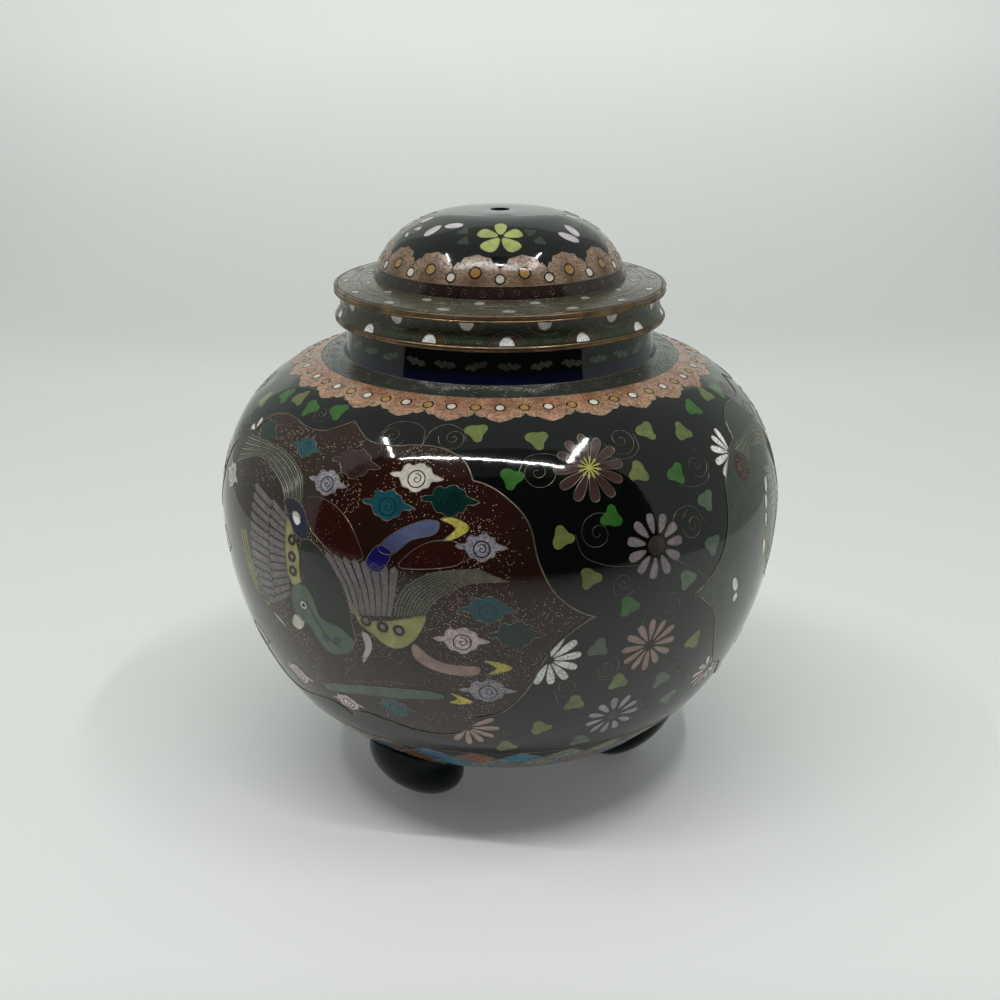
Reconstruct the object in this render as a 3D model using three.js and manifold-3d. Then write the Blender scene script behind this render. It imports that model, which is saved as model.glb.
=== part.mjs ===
// Lidded tripod jar, enamel on copper: a hollow globular body on three short lobed feet, and a
// domed cap lid whose waisted skirt slips over the neck. The lid's finial is missing, so the hole
// that held it is open. Millimetres, +Z up: the jar's axis is Z and it stands on z = 0.
import * as THREE from 'three';
import { mergeVertices } from 'three/addons/utils/BufferGeometryUtils.js';
import Module from 'manifold-3d';

const TURN_STEPS = 52;
const GAP = 0.3;

// Body outline from the foot of the neck down to the base, as [radius, height]
const BODY_OUTLINE = [
  [27.4, 78.5], [37.0, 75.6], [45.4, 67.8], [49.6, 56.9],
  [49.6, 45.2], [46.8, 33.1], [40.7, 20.7], [31.8, 11.7],
];
const BASE_RADIUS = BODY_OUTLINE.at(-1)[0];
const BODY_STEPS = 15;
const BODY_WALL = 1.8;
const BASE_Z = 11.7;
const BASE_EDGE_ROUND = 0.8;

// The neck narrows as it rises, from the shoulder to just under the copper rim of the mouth
const NECK_OUTLINE = [[26.95, 81.0], [26.6, 84.0], [26.3, 87.1]];
const MOUTH_RADIUS = 24.6;
const MOUTH_TOP_Z = 88.75;
const THROAT_Z = 77.7;

// Lid: dome, brim that falls slightly outwards, and concave skirt
const DOME_OUTLINE = [
  [22.0, 91.05], [21.6, 92.7], [19.9, 96.0], [16.4, 99.55], [10.9, 101.9], [5.4, 102.5], [1.65, 102.55],
];
const DOME_STEPS = 9;
const LID_WALL = 1.3;
const BRIM_RADIUS = 28.96;
const BRIM_EDGE_TOP_Z = 90.2;
const BRIM_ENAMEL_Z = 90.3;
const BRIM_UNDER_Z = 89.05;
const BRIM_EDGE_HEIGHT = 1.25;
const BRIM_EDGE_DEPTH = 0.66;
const SKIRT_OUTLINE = [
  [28.62, 85.2], [28.4, 85.65], [28.05, 86.3], [27.87, 87.2], [27.92, 88.2], [27.98, 89.0],
];
const SKIRT_INNER_RADIUS = 26.9;
const SKIRT_MOUTH_RADIUS = 27.35;
const SKIRT_MOUTH_TAPER_Z = 86.0;
const SKIRT_EDGE = { inner: 27.5, outer: 28.9, bottom: 84.2, top: 84.9 };

// Each foot is a lobe that leans outwards as it rises; angles run from the front, -Y, towards +X
const FOOT_ANGLES = { foot_front: -36.5, foot_right: 83.5, foot_back: 203.5 };
const FOOT = {
  halfWidth: 8.3, halfDepth: 7.5, halfHeight: 8.6, middleZ: 7.7, standRadius: 21.1, leanOut: 0.52,
};
const FOOT_ROWS = 9;
const FOOT_STEPS = 26;

const ENAMEL = { roughness: 0.12, metalness: 0.0 };
const COPPER = { color: 0x9a6a4a, roughness: 0.35, metalness: 1.0 };
const COLOURS = { body: 0x15191b, lid: 0x1b201d, foot: 0x1d3028 };

const wasm = await Module();
wasm.setup();

// Turns an outline of [radius, height] points about the Z axis. The outline runs anticlockwise.
function turned(outline, steps = TURN_STEPS) {
  const points = outline.map(([radius, height]) => new THREE.Vector2(radius, height));
  return new THREE.LatheGeometry(points, steps).rotateX(Math.PI / 2);
}

// Evenly spaced points on the smooth curve through the outline's points
function smoothed(outline, steps) {
  const curve = new THREE.SplineCurve(outline.map(([radius, height]) => new THREE.Vector2(radius, height)));
  return curve.getSpacedPoints(steps).map((point) => [point.x, point.y]);
}

// Moves an outline to its left by the distance, square to its own direction
function offset(outline, distance) {
  return outline.map(([radius, height], i) => {
    const before = outline[Math.max(i - 1, 0)];
    const after = outline[Math.min(i + 1, outline.length - 1)];
    const along = new THREE.Vector2(after[0] - before[0], after[1] - before[1]).normalize();
    return [radius - along.y * distance, height + along.x * distance];
  });
}

function closed(outline) {
  return [...outline, outline[0]];
}

function ring({ inner, outer, bottom, top }) {
  return turned(closed([[inner, bottom], [outer, bottom], [outer, top], [inner, top]]));
}

function toSolid(geometry) {
  const shape = geometry.clone();
  shape.deleteAttribute('normal');
  shape.deleteAttribute('uv');
  const merged = mergeVertices(shape, 1e-4);
  const triangles = [];
  const index = merged.index.array;
  for (let i = 0; i < index.length; i += 3) {
    const [a, b, c] = index.slice(i, i + 3);
    if (a !== b && b !== c && c !== a) triangles.push(a, b, c);
  }
  return new wasm.Manifold(new wasm.Mesh({
    numProp: 3,
    vertProperties: new Float32Array(merged.attributes.position.array),
    triVerts: new Uint32Array(triangles),
  }));
}

function toGeometry(solid) {
  const mesh = solid.getMesh();
  const geometry = new THREE.BufferGeometry();
  geometry.setAttribute('position', new THREE.BufferAttribute(mesh.vertProperties, 3));
  geometry.setIndex(new THREE.BufferAttribute(mesh.triVerts, 1));
  return geometry;
}

// The body's outer side from the base up to the neck
const bodySide = smoothed(BODY_OUTLINE, BODY_STEPS).reverse();

function bodyGeometry() {
  const neckZ = NECK_OUTLINE.at(-1)[1];
  const floorZ = BASE_Z + BODY_WALL;
  const inside = offset(bodySide, BODY_WALL)
    .filter(([radius, height]) => height > floorZ && radius > MOUTH_RADIUS)
    .reverse();
  return turned([
    [0, BASE_Z],
    [BASE_RADIUS - BASE_EDGE_ROUND, BASE_Z],
    [BASE_RADIUS, BASE_Z + BASE_EDGE_ROUND / 2],
    ...bodySide.slice(1),
    ...NECK_OUTLINE,
    [MOUTH_RADIUS, neckZ],
    [MOUTH_RADIUS, THROAT_Z],
    ...inside,
    [inside.at(-1)[0] - BODY_WALL, floorZ],
    [0, floorZ],
  ]);
}

function mouthRimGeometry() {
  const [neckRadius, neckZ] = NECK_OUTLINE.at(-1);
  return ring({ inner: MOUTH_RADIUS, outer: neckRadius, bottom: neckZ + GAP, top: MOUTH_TOP_Z });
}

function lidGeometry() {
  const dome = smoothed(DOME_OUTLINE, DOME_STEPS);
  const [domeRadius, domeZ] = dome[0];
  const holeRadius = dome.at(-1)[0];
  const domeInside = offset(dome, LID_WALL).reverse();
  domeInside[0][0] = holeRadius;
  domeInside.at(-1)[1] = domeZ;
  return turned(closed([
    [SKIRT_MOUTH_RADIUS, SKIRT_OUTLINE[0][1]],
    ...SKIRT_OUTLINE,
    [BRIM_RADIUS - BRIM_EDGE_DEPTH - GAP, BRIM_ENAMEL_Z],
    ...dome,
    ...domeInside,
    [domeRadius - LID_WALL, domeZ - LID_WALL],
    [SKIRT_INNER_RADIUS, BRIM_UNDER_Z],
    [SKIRT_INNER_RADIUS, SKIRT_MOUTH_TAPER_Z],
  ]));
}

function brimEdgeGeometry() {
  return ring({
    inner: BRIM_RADIUS - BRIM_EDGE_DEPTH,
    outer: BRIM_RADIUS,
    bottom: BRIM_EDGE_TOP_Z - BRIM_EDGE_HEIGHT,
    top: BRIM_EDGE_TOP_Z,
  });
}

// The lobe's flat underside is cut by z = 0, and its top is cut to the body's underside
function footGeometry() {
  const startAngle = -Math.asin(FOOT.middleZ / FOOT.halfHeight);
  const outline = [[0, 0]];
  for (let row = 0; row < FOOT_ROWS; row++) {
    const angle = startAngle + ((Math.PI / 2 - startAngle) * row) / FOOT_ROWS;
    outline.push([FOOT.halfWidth * Math.cos(angle), FOOT.middleZ + FOOT.halfHeight * Math.sin(angle)]);
  }
  outline.push([0, FOOT.middleZ + FOOT.halfHeight]);
  const depthScale = FOOT.halfDepth / FOOT.halfWidth;
  const place = new THREE.Matrix4().set(
    depthScale, 0, FOOT.leanOut, FOOT.standRadius,
    0, 1, 0, 0,
    0, 0, 1, 0,
    0, 0, 0, 1,
  );
  const lobe = toSolid(turned(outline, FOOT_STEPS).applyMatrix4(place));
  const clearSide = offset(bodySide, -GAP);
  const clear = turned([
    [0, BASE_Z - GAP],
    [clearSide[0][0] - GAP, BASE_Z - GAP],
    ...clearSide,
    [0, clearSide.at(-1)[1]],
  ]);
  return toGeometry(lobe.subtract(toSolid(clear)));
}

const jar = new THREE.Group();

function add(name, geometry, material) {
  const mesh = new THREE.Mesh(geometry, new THREE.MeshStandardMaterial(material));
  mesh.name = name;
  jar.add(mesh);
  return mesh;
}

add('jar_body', bodyGeometry(), { color: COLOURS.body, ...ENAMEL });
add('mouth_rim', mouthRimGeometry(), COPPER);
add('lid', lidGeometry(), { color: COLOURS.lid, ...ENAMEL });
add('brim_edge_band', brimEdgeGeometry(), COPPER);
add('skirt_edge_band', ring(SKIRT_EDGE), COPPER);

const foot = footGeometry();
for (const [name, angle] of Object.entries(FOOT_ANGLES)) {
  const mesh = add(name, foot.clone(), { color: COLOURS.foot, ...ENAMEL });
  mesh.rotation.z = THREE.MathUtils.degToRad(angle - 90);
}

export default jar;
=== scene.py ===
import math
import random

import bpy
import numpy as np
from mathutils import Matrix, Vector
from mathutils.geometry import delaunay_2d_cdt


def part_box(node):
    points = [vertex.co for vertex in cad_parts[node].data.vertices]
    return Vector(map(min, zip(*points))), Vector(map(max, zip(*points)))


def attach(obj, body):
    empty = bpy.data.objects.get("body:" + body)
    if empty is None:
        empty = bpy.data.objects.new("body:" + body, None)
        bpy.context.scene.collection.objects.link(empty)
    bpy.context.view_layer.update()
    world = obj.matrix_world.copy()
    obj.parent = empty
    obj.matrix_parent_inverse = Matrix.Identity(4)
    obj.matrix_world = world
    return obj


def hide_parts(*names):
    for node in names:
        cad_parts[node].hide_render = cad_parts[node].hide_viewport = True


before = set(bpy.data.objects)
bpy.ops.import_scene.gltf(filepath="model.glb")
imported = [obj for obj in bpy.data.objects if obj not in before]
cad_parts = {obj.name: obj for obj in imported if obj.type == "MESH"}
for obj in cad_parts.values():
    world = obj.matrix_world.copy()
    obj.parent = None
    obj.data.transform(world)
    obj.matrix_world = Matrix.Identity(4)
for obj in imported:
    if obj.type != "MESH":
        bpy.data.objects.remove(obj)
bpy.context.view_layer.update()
mm = 0.001


def addObject(name, data):
    thing = bpy.data.objects.new(name, data)
    bpy.context.scene.collection.objects.link(thing)
    return thing


# Camera: close to the jar and a little above it
shot = {"lens": 54, "sensor": 36, "distance": 0.260, "height": 0.1414, "lookDown": 19.48, "nearest": 0.01}


def addCamera():
    data = bpy.data.cameras.new("shotCamera")
    data.lens = shot["lens"]
    data.sensor_width = shot["sensor"]
    data.clip_start = shot["nearest"]
    camera = addObject("shotCamera", data)
    camera.location = (0, -shot["distance"], shot["height"])
    camera.rotation_euler = (math.radians(90 - shot["lookDown"]), 0, 0)
    bpy.context.scene.camera = camera


addCamera()
print("camera placed")


# Node helpers
def addNode(tree, kind, values=None, **settings):
    node = tree.nodes.new(kind)
    for key, value in settings.items():
        setattr(node, key, value)
    for key, value in (values or {}).items():
        if isinstance(value, bpy.types.NodeSocket):
            tree.links.new(value, node.inputs[key])
        else:
            node.inputs[key].default_value = value
    return node


def calculate(tree, operation, first, second=0.0, third=0.0):
    node = addNode(tree, "ShaderNodeMath", {0: first, 1: second, 2: third}, operation=operation)
    return node.outputs[0]


def newGroup(name, kind, inputs, outputs):
    tree = bpy.data.node_groups.new(name, kind)
    for socketName, (socketKind, value) in inputs.items():
        socket = tree.interface.new_socket(socketName, in_out="INPUT", socket_type=socketKind)
        if value is not None:
            socket.default_value = value
    for socketName, socketKind in outputs.items():
        tree.interface.new_socket(socketName, in_out="OUTPUT", socket_type=socketKind)
    return tree, addNode(tree, "NodeGroupInput"), addNode(tree, "NodeGroupOutput")


def socketIds(tree):
    return {item.name: item.identifier for item in tree.interface.items_tree if item.in_out == "INPUT"}


def openCurve(knots, steps=5, spacing=None):
    # A smooth curve through the knots, with a number of steps or a spacing between each two
    knots = np.array(knots, float)
    points = []
    for i in range(len(knots) - 1):
        p0, p1, p2, p3 = (knots[min(max(i + k, 0), len(knots) - 1)] for k in (-1, 0, 1, 2))
        v0, v1 = (p2 - p0) / 2, (p3 - p1) / 2
        if spacing is not None:
            steps = max(2, math.ceil(np.linalg.norm(p2 - p1) / spacing))
        for t in np.arange(steps) / steps:
            points.append((2 * p1 - 2 * p2 + v0 + v1) * t**3
                          + (3 * p2 - 3 * p1 - 2 * v0 - v1) * t**2 + v0 * t + p1)
    points.append(knots[-1])
    return np.array(points)


def closedCurve(knots, steps=5):
    wrapped = [knots[-1], *knots, knots[0], knots[1]]
    return openCurve(wrapped, steps)[steps:-steps - 1]


# Profiles are lists of (radius, height) in mm, walked so that the outside is on the left
def smoothThrough(knots, spacing=0.35):
    return openCurve(knots, spacing=spacing)


def directions(points):
    along = np.gradient(points, axis=0)
    return along / np.linalg.norm(along, axis=1)[:, None]


def movedInwards(points, distance):
    along = directions(points)
    return points - distance * np.stack([-along[:, 1], along[:, 0]], 1)


def softenCorners(points, radius=0.2, sharpest=0.25, share=0.45, steps=6):
    # A corner that turns by more than sharpest, in radians, becomes a short arc
    points = [np.array(p, float) for p in points]
    result = [points[0]]
    for before, corner, after in zip(points, points[1:], points[2:]):
        into, out = corner - before, after - corner
        lengthIn, lengthOut = np.linalg.norm(into), np.linalg.norm(out)
        into, out = into / lengthIn, out / lengthOut
        if into @ out > math.cos(sharpest):
            result.append(corner)
            continue
        reach = min(radius, share * lengthIn, share * lengthOut)
        start, end = corner - into * reach, corner + out * reach
        for t in np.linspace(0, 1, steps):
            result.append((1 - t)**2 * start + 2 * t * (1 - t) * corner + t**2 * end)
    result.append(points[-1])
    return np.array(result)


def profileOf(points):
    arcs = np.concatenate([[0], np.cumsum(np.linalg.norm(np.diff(points, axis=0), axis=1))])
    return {"points": points, "arcs": arcs, "length": arcs[-1]}


def makeProfile(points, node, closest=1e-4):
    # The outline is stretched to the node's own box, and points closer than closest are dropped
    low, high = (np.array(corner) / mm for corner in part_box(node))
    points = np.array(points, float)
    radii, heights = points[:, 0], points[:, 1]
    fitted = np.stack([
        radii * high[0] / radii.max(),
        low[2] + (heights - heights.min()) * (high[2] - low[2]) / (heights.max() - heights.min()),
    ], 1)
    fitted = softenCorners(fitted)
    keep = np.ones(len(fitted), bool)
    keep[1:] = np.linalg.norm(np.diff(fitted, axis=0), axis=1) > closest
    return profileOf(fitted[keep])


def arcNear(profile, radius, height):
    return profile["arcs"][np.hypot(*(profile["points"] - (radius, height)).T).argmin()]


def radiusAt(profile, arc):
    return float(np.interp(arc, profile["arcs"], profile["points"][:, 0]))


# The flat pattern: x is the angle round the jar times perDegree, y runs down the profile
perDegree = 0.785
fullTurn = 360 * perDegree
columns = 144
nearSeam = 178  # a cell that reaches this angle is laid on both sides of the seam at the back
wireSizes = {"cell": 0.075, "fine": 0.045, "lobe": 0.05, "wave": 0.055, "line": 0.08, "foot": 0.09,
             "band": 0.1, "panel": 0.16}
glazes = {
    "black": (4, 8, 6), "goldstone": (28, 13, 8), "redBrown": (50, 16, 9), "lappet": (145, 98, 73),
    "lappetTip": (180, 148, 120), "yellow": (166, 131, 64), "white": (238, 240, 238),
    "olive": (104, 114, 62), "green": (52, 100, 38), "greyGreen": (84, 102, 84), "darkGreen": (13, 22, 17),
    "brownMauve": (70, 50, 48), "mauveGrey": (136, 124, 130), "pink": (160, 134, 126),
    "lilac": (150, 146, 158), "palePink": (205, 188, 190), "teal": (26, 78, 88), "darkTeal": (9, 46, 42),
    "darkMauve": (62, 42, 42), "navy": (14, 14, 58), "blue": (96, 104, 138), "deepBlue": (24, 18, 92),
    "flame": (196, 184, 84), "shoulder": (52, 57, 48), "domeBase": (44, 31, 26), "brim": (68, 63, 48),
    "skirt": (46, 54, 34), "skirtBrown": (66, 58, 38), "leafMark": (150, 160, 140), "counter": (22, 26, 28),
    "cream": (124, 120, 104), "sky": (58, 100, 142), "orange": (128, 84, 60), "bandTeal": (42, 114, 134),
    "pinkGrey": (112, 94, 90), "paleGrey": (112, 120, 114), "blossomGreen": (168, 178, 106),
    "blossomPink": (196, 188, 194), "ivory": (216, 210, 196), "plume": (140, 150, 142),
    "wingLilac": (118, 110, 114), "wingGreen": (94, 106, 94), "bellyYellow": (162, 158, 98),
    "ink": (30, 25, 26), "inkTeal": (6, 30, 30), "inkMauve": (40, 28, 28), "flowerHeart": (60, 49, 45),
    "neckNavy": (8, 9, 44), "neckMark": (100, 110, 90), "rayYellow": (186, 182, 96), "paintedVeilMoss": (54, 68, 57),
    "footGreen": (8, 18, 12), "domeLappet": (98, 68, 48), "domeLappetTip": (144, 120, 98),
}


def linear(name):
    srgb = np.array(glazes[name]) / 255
    return np.where(srgb <= 0.04045, srgb / 12.92, ((srgb + 0.055) / 1.055)**2.4)


def newDesign(profile, zero, ground, seed):
    return {"profile": profile, "zero": zero, "ground": ground, "cells": [], "wires": [], "bands": [],
            "draws": random.Random(seed)}


def toChart(design, places):
    places = np.array(places, float)
    return np.stack([places[:, 0] * perDegree, -(places[:, 1] + design["zero"])], 1)


def around(design, centre, points, turn=0.0):
    # Offsets in mm, right and up from a place on the surface, as (angle, arc) places
    points = np.array(points, float)
    right = points[:, 0] * math.cos(turn) - points[:, 1] * math.sin(turn)
    up = points[:, 0] * math.sin(turn) + points[:, 1] * math.cos(turn)
    radius = radiusAt(design["profile"], centre[1] + design["zero"])
    return np.stack([centre[0] + np.degrees(right / radius), centre[1] - up], 1)


def circle(radius, steps=14):
    angles = np.arange(steps) * 2 * math.pi / steps
    return radius * np.stack([np.cos(angles), np.sin(angles)], 1)


def fill(design, places, glaze, speckle=0.0, fleck=0.0, centre=None, vary=0.05):
    # centre is (place, reach in mm, glaze at the place), for a glaze that changes outwards
    outline = toChart(design, places)
    colour = linear(glaze) * (1 + vary * design["draws"].uniform(-1, 1))
    middle = None if centre is None else (toChart(design, [centre[0]])[0], centre[1], linear(centre[2]))
    shifts = [0.0]
    if outline[:, 0].max() > nearSeam * perDegree:
        shifts.append(-fullTurn)
    if outline[:, 0].min() < -nearSeam * perDegree:
        shifts.append(fullTurn)
    for shift in shifts:
        moved = None if middle is None else (middle[0] + (shift, 0), middle[1], middle[2])
        design["cells"].append({"outline": outline + (shift, 0), "colour": colour, "speckle": speckle,
                                "fleck": fleck, "centre": moved})


def draw(design, places, closed=False, thickness=wireSizes["cell"]):
    design["wires"].append({"points": toChart(design, places), "closed": closed, "thickness": thickness})


def wired(design, places, glaze, **finish):
    fill(design, places, glaze, **finish)
    draw(design, places, closed=True)


def seam(design, places, width, glaze):
    # A ribbon of glaze, width mm to each side of a line of places
    path = np.array(places, float)
    along = directions(path * (perDegree, 1))
    side = np.stack([-along[:, 1], along[:, 0]], 1) * width / (perDegree, 1)
    fill(design, np.concatenate([path + side, (path - side)[::-1]]), glaze, vary=0)


def band(design, start, end, glaze, speckle=0.0):
    design["bands"].append((start, end, linear(glaze), speckle))


def lineAround(design, arc, thickness, wave=lambda angle: 0.0, step=2.5):
    # A wire all the way round, straight or with a wave
    places = [(angle, arc + wave(angle)) for angle in np.arange(-180, 180, step)]
    draw(design, places, closed=True, thickness=thickness)


def mirrored(half):
    return half + [(-x, y) for x, y in half[-2::-1]]


def dot(design, place, size, edgeSize, glaze, edgeGlaze):
    fill(design, around(design, place, circle(edgeSize)), edgeGlaze)
    wired(design, around(design, place, circle(size)), glaze, speckle=0.3)


# Motifs
def petal(inner, outer, halfWidth, angle, steps=9, blunt=0.75, rootWidth=0.35):
    along = (1 - np.cos(np.linspace(0, math.pi, steps))) / 2
    bulge = halfWidth * np.sin(np.linspace(0, math.pi, steps))**blunt
    width = bulge * (rootWidth + (1 - rootWidth) * along)
    side = np.stack([inner + (outer - inner) * along, width], 1)
    outline = np.concatenate([side, side[-2:0:-1] * (1, -1)])
    cosine, sine = math.cos(angle), math.sin(angle)
    return outline @ np.array([[cosine, sine], [-sine, cosine]])


def ovalPetal(design, start, end, halfWidth, glaze):
    # A slender petal between two places on the surface
    start, end = np.array(start, float), np.array(end, float)
    middle = (start + end) / 2
    perTurn = math.radians(radiusAt(design["profile"], middle[1] + design["zero"]))
    reach = (end - start) * (perTurn, -1) / 2
    shape = circle(1.0, 16) * (np.linalg.norm(reach), halfWidth)
    wired(design, around(design, middle, shape, math.atan2(reach[1], reach[0])), glaze, speckle=0.2)


flowerShape = {"longer": 0.05, "eyeSpeckle": 0.3, "rayLong": 0.34, "rayWide": 0.035}


def flower(design, place, size, glaze, petals=12, width=0.7, start=0.24, turn=0.0, show=None,
           eye=None, eyeSize=0.2, speckle=0.12, rays=None):
    # show is (angle, lowest cosine from it), for a flower that is partly hidden
    halfWidth = size * math.sin(math.pi / petals) * width
    if eye is not None:
        fill(design, around(design, place, circle(size * eyeSize, 16)), eye,
             speckle=flowerShape["eyeSpeckle"])
    for i in range(petals):
        angle = turn + i * 2 * math.pi / petals
        if show is not None and math.cos(angle - show[0]) < show[1]:
            continue
        long = size * (1 + flowerShape["longer"] * design["draws"].uniform(-1, 1))
        shape = around(design, place, petal(size * start, long, halfWidth, angle))
        wired(design, shape, glaze, speckle=speckle)
        if rays is not None:
            ray = petal(0, size * flowerShape["rayLong"], size * flowerShape["rayWide"],
                        angle + math.pi / petals)
            fill(design, around(design, place, ray), rays)


leafOutline = [(0, -1.02), (0.32, -0.86), (0.46, -0.4), (0.74, -0.06), (0.98, 0.3), (0.9, 0.68),
               (0.56, 0.84), (0.16, 0.8), (-0.2, 0.9), (-0.62, 0.86), (-0.94, 0.6), (-0.94, 0.2),
               (-0.68, -0.1), (-0.46, -0.42), (-0.3, -0.84)]
leafShape = {"tall": 0.92, "speckle": 0.22, "vary": 0.14}


def leaf(design, place, size, glaze, turn=0.0):
    shape = closedCurve(np.array(leafOutline) * (size, size * leafShape["tall"]), 4)
    fill(design, around(design, place, shape, turn), glaze, speckle=leafShape["speckle"],
         vary=leafShape["vary"])


scroll = {"stepsPerTurn": 26, "start": 0.1, "opening": 1.35}


def spiral(design, place, size, start=0.0, hand=1, turns=1.9, thickness=wireSizes["fine"]):
    reach = np.linspace(0, 1, int(scroll["stepsPerTurn"] * turns))
    angles = start + hand * reach * turns * 2 * math.pi
    radii = size * (scroll["start"] + (1 - scroll["start"]) * reach**scroll["opening"])
    points = np.stack([radii * np.cos(angles), radii * np.sin(angles)], 1)
    draw(design, around(design, place, points), thickness=thickness)


cloudOutline = [(-1.0, 0.02), (-0.8, 0.12), (-0.6, 0.16), (-0.54, 0.38), (-0.38, 0.5), (-0.2, 0.44),
                (-0.02, 0.54), (0.18, 0.56), (0.32, 0.44), (0.48, 0.38), (0.58, 0.18), (0.8, 0.08),
                (1.0, -0.03), (0.8, -0.13), (0.58, -0.16), (0.5, -0.38), (0.3, -0.46), (0.16, -0.58),
                (-0.06, -0.6), (-0.22, -0.48), (-0.42, -0.44), (-0.54, -0.24), (-0.64, -0.1), (-0.82, -0.1)]
cloudInks = {"teal": "darkTeal", "darkTeal": "inkTeal", "darkMauve": "inkMauve"}
cloudSpeckles = {"lilac": 0.85, "palePink": 0.7, "ivory": 0.3}
cloudShape = {"tall": 0.92, "eye": (0.02, -0.08), "ring": 0.31, "ringWidth": 0.1, "coil": 0.2,
              "coilAngle": 8.2, "coilWidth": 0.08}


def cloud(design, place, size, glaze):
    shape = closedCurve(np.array(cloudOutline) * (size, size * cloudShape["tall"]), 4)
    wired(design, around(design, place, shape), glaze, speckle=cloudSpeckles.get(glaze, 0.15))
    ink = cloudInks.get(glaze, "ink")
    eye = around(design, place, [(size * cloudShape["eye"][0], size * cloudShape["eye"][1])])[0]
    rim = around(design, eye, circle(size * cloudShape["ring"], 20))
    seam(design, np.concatenate([rim, rim[:1]]), cloudShape["ringWidth"], ink)
    reach = np.linspace(0.1, 1, 18)
    angles = reach * cloudShape["coilAngle"]
    points = np.stack([np.cos(angles), np.sin(angles)], 1) * (size * cloudShape["coil"] * reach[:, None])
    seam(design, around(design, eye, points), cloudShape["coilWidth"], ink)


def feathers(design, first, last, count, glazeNames, rounded=0.6, gap=0.1, speckle=0.2):
    # Strips between two guides of (angle, arc) places, from root to tip
    first, last = openCurve(first, 6), openCurve(last, 6)
    steps = min(len(first), len(last))
    first = first[np.linspace(0, len(first) - 1, steps).astype(int)]
    last = last[np.linspace(0, len(last) - 1, steps).astype(int)]
    for i in range(count):
        left = first + (last - first) * (i + gap) / count
        right = first + (last - first) * (i + 1 - gap) / count
        tip = (left[-1] + right[-1]) / 2
        tip = tip + ((left[-1] - left[-2]) + (right[-1] - right[-2])) / 2 * rounded
        outline = np.concatenate([left, [(left[-1] + tip) / 2, tip, (right[-1] + tip) / 2], right[::-1]])
        fill(design, outline, glazeNames[i % len(glazeNames)], speckle=speckle)
        draw(design, outline, closed=True, thickness=wireSizes["fine"])


# Jar shell: inside, mouth, neck, body and base in one closed profile
jar = {
    "side": [(27.4, 78.5), (37.0, 75.6), (45.4, 67.8), (49.6, 56.9), (49.6, 45.2), (46.8, 33.1),
             (40.7, 20.7), (31.8, 11.7)],
    "neck": [(26.3, 87.1), (26.6, 84.0), (26.95, 81.0), (27.4, 78.5)],
    "wall": 1.8, "mouth": 24.6, "throat": 77.7, "floor": 13.5, "base": 11.7, "baseEdge": 0.8,
}


def jarProfile():
    side = smoothThrough(jar["side"])
    neck = smoothThrough(jar["neck"])
    inside = movedInwards(side, jar["wall"])
    inside = inside[(inside[:, 1] > jar["floor"] + 0.6) & (inside[:, 0] > jar["mouth"] + 0.6)][::-1]
    points = [
        (0, jar["floor"]), (inside[0][0] - 1.2, jar["floor"]), *inside,
        (jar["mouth"], jar["throat"]), (jar["mouth"], neck[0][1]), *neck, *side[1:-1],
        (side[-1][0] - jar["baseEdge"], jar["base"]), (0, jar["base"]),
    ]
    return makeProfile(points, "jar_body")


# Lid: from the finial hole over the dome, brim and skirt, and back inside
lid = {
    "dome": [(22.0, 91.05), (21.6, 92.7), (19.9, 96.0), (16.4, 99.55), (10.9, 101.9), (5.4, 102.5),
             (1.65, 102.55)],
    "skirt": [(27.98, 89.0), (27.92, 88.2), (27.87, 87.2), (28.05, 86.3), (28.4, 85.65), (28.62, 85.2)],
    "wall": 1.3, "brimTop": (28.28, 90.3), "brimUnder": 89.05, "skirtInside": 26.9, "skirtMouth": 27.35,
    "taperHeight": 86.0,
}


def lidProfile():
    dome = smoothThrough(lid["dome"][::-1])
    skirt = smoothThrough(lid["skirt"], 0.25)
    inside = movedInwards(dome, lid["wall"])[::-1]
    inside[0] = (inside[0][0], dome[-1][1] - lid["wall"])
    inside[-1] = (dome[0][0], inside[-1][1])
    points = [
        (dome[0][0], dome[0][1] - lid["wall"] / 2), *dome,
        lid["brimTop"], (lid["brimTop"][0], lid["skirt"][0][1]), *skirt,
        (lid["skirtMouth"], lid["skirt"][-1][1]), (lid["skirtInside"], lid["taperHeight"]),
        (lid["skirtInside"], lid["brimUnder"]), *inside, (dome[0][0], dome[0][1] - lid["wall"] / 2),
    ]
    return makeProfile(points, "lid")


# Body decoration. Angles run from the front, arcs in mm run down from the foot of the neck
panelHalf = [
    [(0, 12.9), (3.7, 14.8), (6.9, 16.0), (12.3, 16.2), (17.1, 15.6), (22.0, 15.6), (25.9, 16.5),
     (28.8, 18.2), (30.4, 20.9)],
    [(30.4, 20.9), (33.0, 21.5), (35.9, 22.9), (39.4, 25.6), (41.2, 28.5), (42.3, 33.1), (44.6, 37.6),
     (47.3, 40.3), (50.4, 42.2), (52.8, 43.1)],
    [(52.8, 43.1), (50.5, 44.1), (46.2, 47.1), (43.8, 50.1), (42.1, 53.8), (40.0, 57.4), (36.7, 60.9),
     (33.4, 62.3), (30.6, 62.9)],
    [(30.6, 62.9), (29.3, 65.2), (27.2, 67.0), (24.4, 68.0), (20.0, 68.2), (16.1, 67.9), (10.5, 66.8),
     (5.5, 66.0), (2.5, 66.6), (0, 68.3)],
]
panels = [
    {"centre": -35.6, "width": 1.0, "ground": "goldstone", "fleck": 1.0, "plainTo": -90},
    # The right panel's grey-green ground and few flecks are painted reflection, the pale sheen that veils
    # the jar's side
    {"centre": 86.0, "width": 0.9, "ground": "paintedVeilMoss", "fleck": 0.3, "plainTo": -20},
    {"centre": 206.0, "width": 0.98, "ground": "goldstone", "fleck": 1.0, "plainTo": -90},
]
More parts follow.
